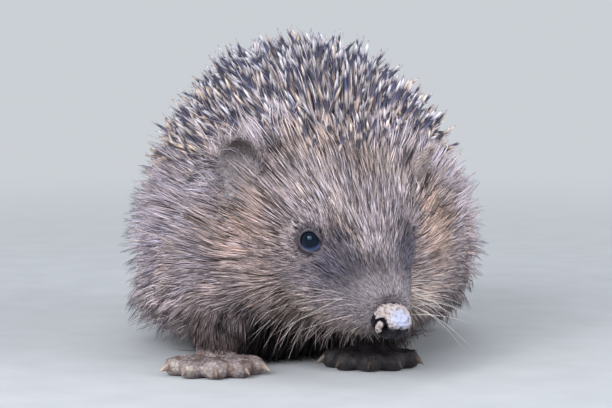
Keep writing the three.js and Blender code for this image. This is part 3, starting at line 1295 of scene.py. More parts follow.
    def carry_zones(
        self, co: Array, source: Array, zones: Zones
    ) -> Zones:
        """Carry the zones over to new places and add the ears and toes.

        Args:
            co: the new places in millimetres.
            source: the places where the zones are known.
            zones: the known shares.

        Returns:
            The shares at the new places.
        """
        tree = KDTree(len(source))
        for i, p in enumerate(source):
            tree.insert(p, i)
        tree.balance()
        nearest = np.array([tree.find(p)[1] for p in co])
        made = {zone: value[nearest] for zone, value in zones.items()}
        foot = ramp(-co[:, 2], -7.5, -5.5)
        ear = np.clip(sum(form.weight(co) for form in self.lie.ears), 0, 1)
        for zone in Zone:
            made[zone] = made[zone] * (1 - foot) * (1 - ear)
        made[Zone.FOOT] += foot
        made[Zone.EAR] += ear
        return made

    def refine(self, mesh: Mesh) -> None:
        """Split the faces round the eyes finer.

        Args:
            mesh: the skin's mesh.
        """
        bm = bmesh.new()
        bm.from_mesh(mesh)
        for reach in (8.5, 6.5, 5.0):
            near = set()
            for centre in self.head.eyes.values():
                c = Vector(centre * MM)
                near |= {e for e in bm.edges if max((v.co - c).length for v in e.verts) < reach * MM}
            bmesh.ops.subdivide_edges(bm, edges=list(near), cuts=1, use_grid_fill=True)
        bmesh.ops.triangulate(bm, faces=[f for f in bm.faces if len(f.verts) > 4])
        bm.to_mesh(mesh)
        bm.free()
        mesh.update()

    def shape_lids(self, co: Array) -> Array:
        """Draw the skin over each eyeball as two lids with a thick rim.

        Args:
            co: places in millimetres.

        Returns:
            The moved places.
        """
        co = co.copy()
        for socket in self.lie.sockets:
            high, far, past, _ = socket.measure(co)
            ball = np.sqrt(np.maximum(socket.ball**2 - far**2, 0.0))
            round_part = np.minimum(far, self.lid_edge)
            dome = np.sqrt(np.maximum(self.lid_ball**2 - round_part**2, 0.0))
            dome = dome - 0.75 * np.maximum(far - self.lid_edge, 0.0)
            lid = dome + self.lid_rim * spot((past - 0.5) / 0.42)
            raised = 0.5 * (high + lid + np.sqrt((high - lid) ** 2 + 0.5))
            inside = ramp(-past, 0.0, 0.3)
            bed = np.maximum(ball - 1.0, np.minimum(1.55 * ramp(far, 3.1, 3.4), dome - 0.35))
            target = raised * (1 - inside) + bed * inside
            hold = ramp(-far, -6.8, -5.0) * ramp(high, -5.5, -4.0)
            co = co + socket.look * ((target - high) * hold)[:, None]
        return co

    def bareness(self, co: Array) -> Array:
        """How bare the skin is.

        Args:
            co: places in millimetres.

        Returns:
            From 0 under the coat to 1 on the feet, ears and lids.
        """
        bare = self.zones[Zone.FOOT] * 1.1 + 0.9 * self.zones[Zone.EAR]
        bare = bare + 0.8 * ramp(-self.lie.ahead_of(co), -9, -5)
        for socket in self.lie.sockets:
            _, _, past, _ = socket.measure(co)
            bare = bare + 0.6 * socket.near(co) * ramp(-past, -1.1, -0.5)
        return np.clip(bare, 0, 1)

    def unwrap(self, mesh: Mesh) -> None:
        """Unwrap the skin by its own shape, as the map that all the coat is placed on.

        Args:
            mesh: the skin's mesh.
        """
        obj = put("unwrap", mesh)
        bpy.context.view_layer.objects.active = obj
        obj.select_set(True)
        mesh.uv_layers.new(name="OFBake")
        bpy.ops.object.mode_set(mode="EDIT")
        bpy.ops.mesh.select_all(action="SELECT")
        bpy.ops.uv.smart_project(angle_limit=math.radians(75), island_margin=0.002)
        bpy.ops.object.mode_set(mode="OBJECT")
        bpy.data.objects.remove(obj)

    def scatter(self, count: int, weight: Array, rng: np.random.Generator) -> Roots:
        """Roots spread at random over the skin.

        Args:
            count: how many roots.
            weight: how dense they stand at each vertex.
            rng: the source of random numbers.

        Returns:
            The roots.
        """
        mesh = self.mesh
        mesh.calc_loop_triangles()
        tri = fetch(mesh.loop_triangles, "vertices", 3, np.int32)
        loops = fetch(mesh.loop_triangles, "loops", 3, np.int32)
        uv = fetch(mesh.uv_layers["OFBake"].data, "uv", 2)
        co, normal = self.read(mesh)
        a, b, c = (co[tri[:, k]] for k in range(3))
        area = 0.5 * np.linalg.norm(np.cross(b - a, c - a), axis=1)
        chance = area * weight[tri].mean(1)
        which = rng.choice(len(tri), count, p=chance / chance.sum())
        u, v = rng.random(count), rng.random(count)
        flip = u + v > 1
        u[flip], v[flip] = 1 - u[flip], 1 - v[flip]
        share = np.stack([1 - u - v, u, v], 1)

        def mix(values: Array, index: Array) -> Array:
            """Blend the corners' values at each root."""
            s = share if values.ndim == 1 else share[:, :, None]
            return (values[index[which]] * s).sum(1)

        zones = {zone: mix(value, tri) for zone, value in self.zones.items()}
        return Roots(mix(co, tri), unit(mix(normal, tri)), mix(uv, loops), zones)


# ---------------------------------------------------------------- coat


@dataclass
class Strands:
    """Many thin tapered solids, each along its own path."""

    path: Array
    radius: Array
    along: Array
    uv: Array
    tint: Array
    coat: Array
    side: Array
    sides: int = 3
    patch: float = 0.0028

    def mesh(self, name: str) -> Mesh:
        """Build all the strands as one mesh of closed solids.

        Args:
            name: name of the mesh.

        Returns:
            The mesh, with its OFBake map and its along, tint and coat values.
        """
        count, rings = self.path.shape[:2]
        m = self.sides
        axis = unit(np.gradient(self.path, axis=1))
        side = self.side[:, None, :]
        across = unit(side - (side * axis).sum(2, keepdims=True) * axis)
        over = np.cross(axis, across)[:, :-1, None, :]
        angle = (2 * np.pi * np.arange(m) / m)[:, None]
        ring = across[:, :-1, None, :] * np.cos(angle) + over * np.sin(angle)
        body = self.path[:, :-1, None, :] + ring * self.radius[:, :-1, None, None]
        per = (rings - 1) * m + 1
        co = np.concatenate([body.reshape(count, -1, 3), self.path[:, -1:, :]], 1)
        faces, uv = self.layout(rings)
        sizes = np.array([len(f) for f in faces])
        loop = np.concatenate(faces)
        loops = (loop[None, :] + per * np.arange(count)[:, None]).ravel()
        starts = np.concatenate([[0], np.cumsum(sizes)[:-1]])
        starts = (starts[None, :] + len(loop) * np.arange(count)[:, None]).ravel()
        mesh = bpy.data.meshes.new(name)
        mesh.vertices.add(count * per)
        mesh.vertices.foreach_set("co", (co * MM).astype(np.float32).ravel())
        mesh.loops.add(len(loops))
        mesh.loops.foreach_set("vertex_index", loops.astype(np.int32))
        mesh.polygons.add(count * len(faces))
        mesh.polygons.foreach_set("loop_start", starts.astype(np.int32))
        mesh.update(calc_edges=True)
        spread = (np.array(uv)[None] - 0.5) * self.patch + self.uv[:, None, :]
        mesh.uv_layers.new(name="OFBake").data.foreach_set("uv", spread.astype(np.float32).ravel())
        along = np.concatenate([np.repeat(self.along[:-1], m), [1.0]])
        set_value(mesh, "along", np.tile(along, count))
        set_value(mesh, "tint", np.repeat(self.tint, per))
        set_value(mesh, "coat", np.repeat(self.coat, per, axis=0))
        return mesh

    def layout(self, rings: int) -> tuple[list[list[int]], list[tuple[float, float]]]:
        """Lay out one strand: its rings of quads, the cone of its tip and the cap of its root.

        Args:
            rings: how many places its path has.

        Returns:
            The faces by vertex number, and the place of each of their corners on the map.
        """
        m = self.sides
        faces, uv = [], []
        for r, j in product(range(rings - 2), range(m)):
            k = (j + 1) % m
            faces.append([r * m + j, r * m + k, (r + 1) * m + k, (r + 1) * m + j])
            t0, t1 = self.along[r], self.along[r + 1]
            uv += [(j / m, t0), ((j + 1) / m, t0), ((j + 1) / m, t1), (j / m, t1)]
        last, tip = (rings - 2) * m, (rings - 1) * m
        for j in range(m):
            faces.append([last + j, last + (j + 1) % m, tip])
            uv += [(j / m, self.along[-2]), ((j + 1) / m, self.along[-2]), ((j + 0.5) / m, 1.0)]
        faces.append(list(range(m))[::-1])
        uv += [(0.5, 0.0)] * m
        return faces, uv

    def pick(self, which: Array) -> "Strands":
        """Take only some of the strands.

        Args:
            which: the numbers of those to take.

        Returns:
            The strands taken.
        """
        return Strands(
            self.path[which], self.radius[which], self.along, self.uv[which], self.tint[which],
            self.coat[which], self.side[which], self.sides, self.patch,
        )

    def pieces(
        self, name: str, parts: int, order: Array, slot: str, material: Material
    ) -> list[Object]:
        """Build the strands as pieces of about the same size, numbered where there are several.

        Args:
            name: name of the pieces.
            parts: how many pieces.
            order: the strands in the order in which the pieces take them.
            slot: the name of a material slot; not used.
            material: what they are made of.

        Returns:
            The pieces.
        """
        made = []
        for i, chosen in enumerate(np.array_split(order, parts)):
            title = f"{name}_{i + 1}" if parts > 1 else name
            made.append(finish_object(title, self.pick(chosen).mesh(title), material))
        return made


@dataclass
class Fur:
    """One kind of hair over part of the skin."""

    name: str
    slot: str
    count: int
    finish: HairFinish
    lie: Lie
    skin: Skin
    segments: int = 3
    spread: float = 7.0
    curl: float = 0.0
    locks: tuple[tuple[int, float], ...] = ((4, 0.45), (20, 0.35))
    shared: float = 0.4
    most: int = 12000
    sunk: float = 0.15
    off_floor: float = 0.25
    lock_reach: float = 4.0

    def density(self, co: Array, zones: Zones) -> Array:
        """Return how dense this hair stands at each place."""
        raise NotImplementedError

    def style(self, roots: Roots) -> Style:
        """Return the length, the lift in degrees, the droop and the radius of each hair."""
        raise NotImplementedError

    def build(self) -> list[Object]:
        """Grow the hair and split it into pieces.

        Returns:
            The pieces.
        """
        rng = np.random.default_rng(SEED + sum(map(ord, self.name)))
        co, _ = self.skin.read(self.skin.mesh)
        count = self.count
        weight = self.density(co, self.skin.zones) + SCARCELY
        strands = self.grow(self.skin.scatter(count, weight, rng), rng)
        parts = max(1, math.ceil(count / self.most))
        return strands.pieces(self.name, parts, rng.permutation(count), self.slot, self.finish.make())

    def grow(self, roots: Roots, rng: np.random.Generator) -> Strands:
        """Give each root its path, thickness and colour.

        Args:
            roots: where the hair stands.
            rng: the source of random numbers.

        Returns:
            The strands.
        """
        count = len(roots.place)
        length, lift, droop, radius = self.style(roots)
        flow = self.lie.flow(roots.place, roots.normal, roots.zones)
        under = ramp(-roots.normal[:, 2], 0.0, 0.6)
        swing = np.radians(rng.normal(0, self.spread, count) * (1 + 2.2 * under))[:, None]
        flow = flow * np.cos(swing) + np.cross(roots.normal, flow) * np.sin(swing)
        length = length * (rng.uniform(0.7, 1.18, count) + under * rng.uniform(-0.4, 0.3, count))
        lift = np.radians(lift * rng.uniform(0.6, 1.4, count))[:, None]
        t = np.linspace(0, 1, self.segments + 1)
        bow = self.curl * rng.normal(0, 1, (count, 1))
        side = np.cross(roots.normal, flow)
        path = np.zeros((count, len(t), 3))
        for k, s in enumerate(t):
            rise = np.sin(lift) * (s - 0.38 * s * s)
            step = flow * np.cos(lift) * s + roots.normal * rise + side * bow * s * s
            step = step + np.array([0, 0, -1.0]) * droop[:, None] * s * s
            path[:, k] = roots.place + length[:, None] * step
        tint = rng.beta(0.75, 0.7, count)
        for size, pull in self.locks:
            path, leader = self.gather(path, t, size, pull, rng)
            tint = np.where(rng.random(count) < self.shared, tint[leader], tint)
        path[:, 0] -= roots.normal * self.sunk
        path[:, :, 2] = np.maximum(path[:, :, 2], self.off_floor)
        thin = radius * rng.uniform(0.75, 1.25, count)
        radius = thin[:, None] * (1.0 - 0.5 * t**1.5)[None, :]
        warm = rng.normal(0, 1, (count, 1)) * np.array([0.035, 0.0, -0.06])
        coat = self.lie.colour(roots.place, roots.zones) * (1 + warm)
        return Strands(path, radius, t, roots.uv, tint, coat, side)

    def gather(
        self, path: Array, t: Array, size: int, pull: float, rng: np.random.Generator
    ) -> tuple[Array, Array]:
        """Draw neighbouring hairs together into locks towards their tips.

        Args:
            path: the hairs' paths.
            t: places along them.
            size: how many hairs share a lock.
            pull: how far a hair is drawn to the middle of its lock.
            rng: the source of random numbers.

        Returns:
            The changed paths, and which hair leads each hair's lock.
        """
        count = len(path)
        leaders = rng.choice(count, max(1, count // size), replace=False)
        tree = KDTree(len(leaders))
        for i, j in enumerate(leaders):
            tree.insert(path[j, 0], i)
        tree.balance()
        nearest = leaders[[tree.find(p)[1] for p in path[:, 0]]]
        amount = (pull * rng.uniform(0.5, 1.3, count))[:, None, None] * (t**1.2)[None, :, None]
        shift = path[nearest] - path
        close = np.linalg.norm(shift[:, :1], axis=2, keepdims=True) < self.lock_reach
        return path + shift * np.clip(amount * close, 0, 0.95), nearest


class FaceFur(Fur):
    """Short fur from the muzzle to the cheeks and brow."""

    def density(self, co: Array, zones: Zones) -> Array:
        """How dense the face's fur stands.

        Args:
            co: places in millimetres.
            zones: how much each place belongs to each zone.

        Returns:
            A weight for each place.
        """
        s = self.lie.ahead_of(co)
        dense = (zones[Zone.HEAD] + zones[Zone.TRUNK]) * ramp(-s, -50, -36)
        dense = dense * np.interp(s, [12, 30], [2.2, 1.0]) * ramp(s, 9, 16)
        for socket in self.lie.sockets:
            _, _, past, angle = socket.measure(co)
            near = socket.near(co)
            rim = 0.2 + 0.25 * ramp(np.cos(np.radians(angle)), -0.2, 0.6)
            dense = dense * (1 + 2.5 * near) * (1 - near * ramp(-past, -rim - 0.25, -rim))
        return dense

    def style(self, roots: Roots) -> Style:
        """How the face's fur grows.

        Args:
            roots: where the hair stands.

        Returns:
            Length and radius in millimetres, lift in degrees and droop as a share of the length.
        """
        s = self.lie.ahead_of(roots.place)
        under = ramp(-roots.normal[:, 2], 0.1, 0.7)
        length = np.interp(s, [0, 5, 12, 20, 28, 40, 52], [1.0, 2.0, 3.8, 5.8, 8.6, 12.0, 15.0])
        length = length * (1 + 0.5 * under * (ramp(s, 4, 14) - 1.6 * ramp(s, 20, 34)))
        for socket in self.lie.sockets:
            _, far, past, _ = socket.measure(roots.place)
            close = np.maximum(1.2, 0.8 + 0.85 * past) + socket.veil
            length = np.where(far < 9.0, np.minimum(length, close), length)
        length = length * self.lie.ear_room(roots.place)
        lift = np.interp(s, [0, 8, 20, 45], [14.0, 30.0, 30.0, 26.0])
        lift = lift + 12 * under * (1 - 1.2 * ramp(s, 20, 34))
        cover = self.lie.ear_cover(roots.place)
        length, lift = length * (1 + 0.25 * cover), lift + 16 * cover
        radius = np.interp(length, [1.0, 3.0, 8.0, 12.0], [0.06, 0.09, 0.14, 0.16])
        return length, lift, 0.03 + 0.12 * under, radius * (1 - 0.3 * under)


class MuzzleFur(FaceFur):
    """The finest, shortest fur, round the nose."""

    def density(self, co: Array, zones: Zones) -> Array:
        """How dense the muzzle's fur stands.

        Args:
            co: places in millimetres.
            zones: how much each place belongs to each zone.

        Returns:
            A weight for each place.
        """
        s = self.lie.ahead_of(co)
        dense = zones[Zone.HEAD] * ramp(s, -2.5, 0.0) * ramp(-s, -17, -11)
        return dense * np.interp(s, [0, 3, 12], [2.6, 1.6, 1.0])


class ChinFur(Fur):
    """Sparse long pale hairs along the edge of the jaw."""

    def density(self, co: Array, zones: Zones) -> Array:
        """How dense the chin's hairs stand.

        Args:
            co: places in millimetres.
            zones: how much each place belongs to each zone.

        Returns:
            A weight for each place.
        """
        s = self.lie.ahead_of(co)
        edge = spot((co[:, 2] - 15.5) / 2.2) * ramp(-co[:, 1], 48, 56)
        return zones[Zone.HEAD] * edge * ramp(s, 5, 12)

    def style(self, roots: Roots) -> Style:
        """How the chin's hairs grow.

        Args:
            roots: where the hair stands.

        Returns:
            Length and radius in millimetres, lift in degrees and droop as a share of the length.
        """
        s = self.lie.ahead_of(roots.place)
        length = np.interp(s, [5, 15, 28, 45], [4.0, 7.5, 11.0, 13.0])
        return length, np.full(len(s), 34.0), np.full(len(s), 0.4), np.full(len(s), 0.075)


class LongFur(Fur):
    """Long coarse fur of the cheeks, neck, flanks and skirt."""

    def density(self, co: Array, zones: Zones) -> Array:
        """How dense the long fur stands.

        Args:
            co: places in millimetres.
            zones: how much each place belongs to each zone.

        Returns:
            A weight for each place.
        """
        s = self.lie.ahead_of(co)
        inside = self.lie.quills(co)
        dense = (zones[Zone.HEAD] + zones[Zone.TRUNK]) * ramp(s, 30, 46)
        dense = dense * (1 - 0.9 * ramp(inside, 0, 13))
        front = 1 + 1.2 * ramp(-co[:, 1], -10, 45)
        belly = self.lie.chest(co, zones) * zones[Zone.TRUNK]
        return dense * front * (0.5 + 0.5 * ramp(co[:, 2], 12, 22) + 0.8 * belly)

    def style(self, roots: Roots) -> Style:
        """How the long fur grows.

        Args:
            roots: where the hair stands.

        Returns:
            Length and radius in millimetres, lift in degrees and droop as a share of the length.
        """
        s = self.lie.ahead_of(roots.place)
        z = roots.place[:, 2]
        length = np.interp(s, [30, 45, 62, 80], [8.0, 13.0, 18.5, 21.5])
        flank = ramp(np.abs(roots.normal[:, 0]), 0.45, 0.9)
        throat = roots.zones[Zone.HEAD] * ramp(-roots.normal[:, 2], 0.3, 0.7)
        belly = self.lie.chest(roots.place, roots.zones) * roots.zones[Zone.TRUNK]
        length = length * (1 - 0.28 * ramp(-z, -34, -14)) * (1 - 0.6 * throat + 0.6 * belly)
        length = length * self.lie.ear_room(roots.place)
        lift = np.interp(s, [30, 50, 70], [20.0, 26.0, 32.0]) + 9 * flank * (1 - ramp(-z, -34, -20))
        lift = lift * (1 - 0.3 * ramp(-z, -22, -12)) * (1 - 0.2 * throat)
        cover = self.lie.ear_cover(roots.place)
        length, lift = length * (1 + 0.15 * cover), lift + 18 * cover
        droop = 0.04 + 0.2 * ramp(-z, -40, -14) * (1 - 0.8 * roots.zones[Zone.HEAD]) + 1.2 * belly
        return length, lift, droop, 0.16 * (1 - 0.5 * throat)


class GuardFur(LongFur):
    """Sparse stiff locks that stand proud of the long fur and break its outline."""

    def density(self, co: Array, zones: Zones) -> Array:
        """Return how dense the guard hair stands at each place."""
        flank = 0.35 + ramp(np.abs(co[:, 0]), 22, 40)
        return super().density(co, zones) * flank * ramp(self.lie.ahead_of(co), 44, 60)

    def style(self, roots: Roots) -> Style:
        """Return the length, the lift, the droop and the radius of the guard hair."""
        length, lift, droop, radius = super().style(roots)
        return length * 1.2, lift + 9, droop, radius * 1.1


class LimbFur(Fur):
    """Short dark fur of the legs and tail, thin on the backs of the feet."""

    def density(self, co: Array, zones: Zones) -> Array:
        """Return how dense the limbs' fur stands at each place."""
        foot = 0.3 * zones[Zone.FOOT] * ramp(co[:, 2], 3.5, 6.5)
        return zones[Zone.LEG] + zones[Zone.TAIL] + foot

    def style(self, roots: Roots) -> Style:
        """How the limbs' fur grows.

        Args:
            roots: where the hair stands.

        Returns:
            Length and radius in millimetres, lift in degrees and droop as a share of the length.
        """
        z = roots.place[:, 2]
        length = np.interp(z, [3, 7, 14, 24], [1.2, 3.0, 6.5, 9.5])
        return length, np.full(len(z), 18.0), np.full(len(z), 0.08), np.full(len(z), 0.12)


class EarFur(Fur):
    """Fine down on both faces of the ears."""

    one_long_in: int = 7

    def density(self, co: Array, zones: Zones) -> Array:
        """Return how dense the ears' down stands at each place."""
        return zones[Zone.EAR] ** 2

    def style(self, roots: Roots) -> Style:
        """How the down grows.

        Args:
            roots: where the hair stands.

        Returns:
            Length and radius in millimetres, lift in degrees and droop as a share of the length.
        """
        count = len(roots.place)
        length = np.where(np.arange(count) % self.one_long_in == 0, 4.5, 1.8)
        return length, np.full(count, 14.0), np.zeros(count), np.full(count, 0.07)


@dataclass
class Quills:
    """The banded quills over the back."""

    lie: Lie
    skin: Skin
    spacing: float = 1.95
    length: float = 19.0
    radius: float = 0.5
    lift: float = 38.0
    side_lift: float = 10.0
    scatter_degrees: float = 21.0
    tried: int = 26000
    sunk: float = 0.4
    along: tuple[float, ...] = (0.0, 0.3, 0.62, 0.88, 1.0)
    thickness: tuple[float, ...] = (0.6, 1.0, 1.0, 0.8, 0.0)

    def build(self) -> list[Object]:
        """Set the quills evenly over the back and build them in two pieces.

        Returns:
            The pieces.
        """
        rng = np.random.default_rng(SEED)
        co, _ = self.skin.read(self.skin.mesh)
        inside = self.lie.quills(co)
        body = self.skin.zones[Zone.HEAD] + self.skin.zones[Zone.TRUNK]
        weight = body * ramp(inside, -2.5, 6.0) + SCARCELY
        roots = self.skin.scatter(self.tried, weight, rng)
        roots = roots.pick(self.thin(roots.place))
        strands = self.grow(roots, rng)
        order = rng.permutation(len(roots.place))
        log.info("quills: %d", len(order))
        return strands.pieces("quills", 2, order, "quill", QuillFinish().make())

    def thin(self, place: Array) -> Array:
        """Choose roots that keep their distance from each other.

        Args:
            place: the places of all the roots.

        Returns:
            The numbers of those kept.
        """
        kept, cells = [], {}
        for i, p in enumerate(place):
            x, y, z = (p // self.spacing).astype(int)
            keys = product((x - 1, x, x + 1), (y - 1, y, y + 1), (z - 1, z, z + 1))
            near = [j for key in keys for j in cells.get(key, ())]
            if all(((place[j] - p) ** 2).sum() > self.spacing**2 for j in near):
                kept.append(i)
                cells.setdefault((x, y, z), []).append(i)
        return np.array(kept)

    def grow(self, roots: Roots, rng: np.random.Generator) -> Strands:
        """Give each quill its path, thickness and colour.

        Args:
            roots: where the quills stand.
            rng: the source of random numbers.

        Returns:
            The quills as strands.
        """
        count = len(roots.place)
        p, n = roots.place, roots.normal
        inside = self.lie.quills(p)
        flow = self.lie.flow(p, n, roots.zones)
        swing = np.radians(rng.normal(0, self.scatter_degrees, count))[:, None]
        flow = flow * np.cos(swing) + np.cross(n, flow) * np.sin(swing)
        full = self.lift + self.side_lift * ramp(np.abs(n[:, 0]), 0.4, 0.9)
        full = full * np.interp(inside, [0, 12], [0.75, 1.0])
        lift = np.radians(full + rng.normal(0, 9, count))[:, None]
        length = self.length * np.interp(inside, [-2, 5, 14], [0.6, 0.85, 1.0])
        length = length * rng.uniform(0.8, 1.15, count)
        shoulder = ramp(-p[:, 0], 4, 18) * spot((p[:, 2] - 79) / 5)
        length = (length * (1 - 0.1 * ramp(p[:, 2], 70, 84) + 0.28 * shoulder))[:, None]
        t = np.array(self.along)
        lie, rise = flow * np.cos(lift), n * np.sin(lift)
        path = np.stack([p + length * (lie * s + rise * (s - 0.12 * s * s)) for s in t], 1)
        path[:, 0] -= n * self.sunk
        radius = self.radius * rng.uniform(0.85, 1.12, (count, 1)) * np.array(self.thickness)
        tint = rng.random(count)
        # Cream low down, turning bluish white towards the top as painted reflection of the sky, and
        # lighter towards positive x as painted light.
        sky_tint = np.clip(ramp(p[:, 2], 36, 80) + rng.normal(0, 0.35, count), 0, 1)[:, None]
        shade = linear(244, 226, 210) * (1 - sky_tint) + linear(226, 232, 252) * sky_tint
        shade = shade * rng.uniform(0.6, 1.25, (count, 1)) * (1 + 0.35 * ramp(p[:, 0], 10, 30))[:, None]
        return Strands(path, radius, t, roots.uv, tint, shade, np.cross(n, flow), sides=5)


@dataclass
class Whiskers:
    """Long stiff hairs at the sides of the muzzle."""

    head: HeadFrame
    numbers: tuple[int, int] = (7, 18)
    radii: tuple[float, float] = (0.06, 0.11)

    def build(self) -> Object:
        """Build the whiskers of both sides as one piece.

        Returns:
            The whiskers.
        """
        rng = np.random.default_rng(SEED + 2)
        paths, sides, thick = [], [], []
        t = np.linspace(0, 1, 9)
        for sign, number, radius in zip((1.0, -1.0), self.numbers, self.radii):
            for _ in range(number):
                a = rng.uniform(12, 22)
                u = rng.uniform(-4.5, 1.0) if sign > 0 else rng.uniform(-4.0, 3.0)
                root = np.array([sign * np.interp(a, [12, 22], [9.0, 5.8]), a, u])
                out = sign * rng.uniform(0.7, 1.1)
                aim = unit(np.array([out, rng.uniform(-0.25, 0.35), rng.uniform(-0.35, 0.3)]))
                bend = np.array([0.0, -rng.uniform(0.25, 0.5), -rng.uniform(0.05, 0.3)])
                length = rng.uniform(12, 22) if sign > 0 else rng.uniform(17, 29)
                q = root + length * (aim * t[:, None] + bend * t[:, None] ** 2)
                path = self.head.world(q)
                path[:, 2] -= 0.35 * length * t**2
                paths.append(path)
                sides.append(self.head.heading(0, 0.2, 1))
                thick.append(radius * (1 - 0.75 * t))
        count = len(paths)
        coat = np.tile(linear(236, 228, 226), (count, 1))
        uv = np.stack([np.linspace(0.05, 0.95, count), np.full(count, 0.5)], 1)
        tint = np.full(count, 0.8)
        paths, thick, sides = (np.array(values) for values in (paths, thick, sides))
        strands = Strands(paths, thick, t, uv, tint, coat, sides, sides=4, patch=0.02)
        finish = HairFinish("whisker_hair", root=(120, 108, 104), middle=0.3)
        return finish_object("whiskers", strands.mesh("whiskers"), finish.make())


# ---------------------------------------------------------------- nose, eyes and claws


@dataclass
class Nose:
    """The bare nose pad with its two comma-shaped nostrils."""

    head: HeadFrame
    half_width: float = 5.3
    length: float = 4.9
    up: float = 3.95
    down: float = 4.9
    ahead: float = 25.6
    lift: float = -0.35
    squareness: float = 2.7
    flap: tuple[float, float] = (62.0, -0.16)  # degrees round from the front, and height
    flap_size: tuple[float, float] = (20.0, 0.56)

    def build(self) -> Object:
        """Shape a fine ball into the pad and open the nostrils.

        Returns:
            The nose pad.
        """
        bm = bmesh.new()
        bmesh.ops.create_icosphere(bm, subdivisions=6, radius=1.0)
        d = np.array([v.co for v in bm.verts])
        right, ahead, up = d.T
        ring, inside, hole = self.nostrils(d)
        box = (np.abs(d) ** self.squareness).sum(1) ** (-1 / self.squareness)
        q = np.stack([
            right * box * self.half_width * (1 - 0.06 * up),
            ahead * box * self.length,
            up * box * np.where(up > 0, self.up, self.down),
        ], 1)
        q[:, 1] -= 0.7 * spot(right / 0.09) * ramp(ahead, 0.1, 0.6) * ramp(-up, -0.5, 0.1)
        q[:, 1] += 0.5 * ramp(up, 0.05, 0.35) * ramp(ahead, 0.2, 0.8)
        grain = 0.16 * ripple(q, 1.9, 0.7) + 0.08 * ripple(q, 0.9, 2.9)
        q += d * (grain - 1.0 * ring - 1.5 * hole + 0.15 * inside)[:, None]
        q[:, 1] += self.ahead
        q[:, 2] += self.lift
        for v, p in zip(bm.verts, self.head.world(q) * MM):
            v.co = p
        bmesh.ops.recalc_face_normals(bm, faces=bm.faces)
        mesh = mesh_of(bm, "nose_pad")
        plate = ramp(up + 0.10 * ripple(q, 3.1, 1.9), 0.02, 0.22) * ramp(ahead, -0.75, -0.2)
        crust = np.clip(0.1 + 0.8 * plate + inside, 0, 1) * (1 - np.clip(1.5 * ring + 2 * hole, 0, 1))
        set_value(mesh, "crust", crust)
        # Where the pad faces up and forward its crust turns bluish white, as painted highlight.
        white = ramp(d @ unit(np.array([-0.04, 0.62, 0.78])), 0.66, 1.04)
        set_value(mesh, "white", white)
        obj = finish_object("nose_pad", mesh, NoseFinish().make())
        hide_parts("nose")
        return obj

    def nostrils(self, d: Array) -> tuple[Array, Array, Array]:
        """Lay out both nostrils.

        Args:
            d: directions from the middle of the pad: right, ahead and up.

        Returns:
            How much each place belongs to the slits, the flaps within them and the holes.
        """
        ring, inside, hole = (np.zeros(len(d)) for _ in range(3))
        for sign in (1.0, -1.0):
            turnout = np.degrees(np.arctan2(sign * d[:, 0], d[:, 1]))
            a = (turnout - self.flap[0]) / self.flap_size[0]
            b = (d[:, 2] - self.flap[1]) / self.flap_size[1]
            off = np.hypot(a, b)
            ring += spot((off - 1.0) / 0.21) * ramp(b, -1.2, -0.5)
            inside += ramp(-off, -0.9, -0.6)
            hole += spot((a + 0.95) / 0.35, (b - 0.1) / 0.4)
        return ring, inside, hole


@dataclass
class Eye:
    """One eyeball with a slightly bulging cornea."""

    socket: Socket
    bulge: float = 0.22
    turned: float = 0.12
    raised: float = 0.11
    # Degrees by which the upper side of the ball keeps the iris's dark colours, as painted shade of the
    # upper lid.
    lid_shade_lag: float = 16.0
    under_lids: float = 0.05
    cornea: float = 34.0

    def build(self, material: Material) -> Object:
        """Build the ball, turned to where the eye looks.

        Args:
            material: what it is made of.

        Returns:
            The eyeball.
        """
        socket, side = self.socket, self.socket.side
        bm = bmesh.new()
        bmesh.ops.create_uvsphere(bm, u_segments=64, v_segments=48, radius=1.0)
        look = unit(socket.look - self.turned * socket.corner - self.raised * socket.lower)
        gaze = []
        for v in bm.verts:
            d = np.array(v.co)
            angle = math.degrees(math.acos(max(-1.0, min(1.0, float(d @ look)))))
            flat = d - float(d @ look) * look
            down = 0.5 + 0.5 * float(unit(flat + 1e-9) @ unit(socket.corner + socket.lower))
            # The upper side is darkened as painted shade of the upper lid.
            gaze.append((angle - self.lid_shade_lag * (1 - down)) / 100.0)
            swell = self.bulge * math.exp(-((angle / self.cornea) ** 2))
            v.co = Vector((socket.centre + d * (socket.ball - self.under_lids + swell)) * MM)
        mesh = mesh_of(bm, f"eyeball_{side}")
        set_value(mesh, "gaze", np.array(gaze))
        obj = finish_object(mesh.name, mesh, material)
        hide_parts(f"eye_{side}")
        return obj


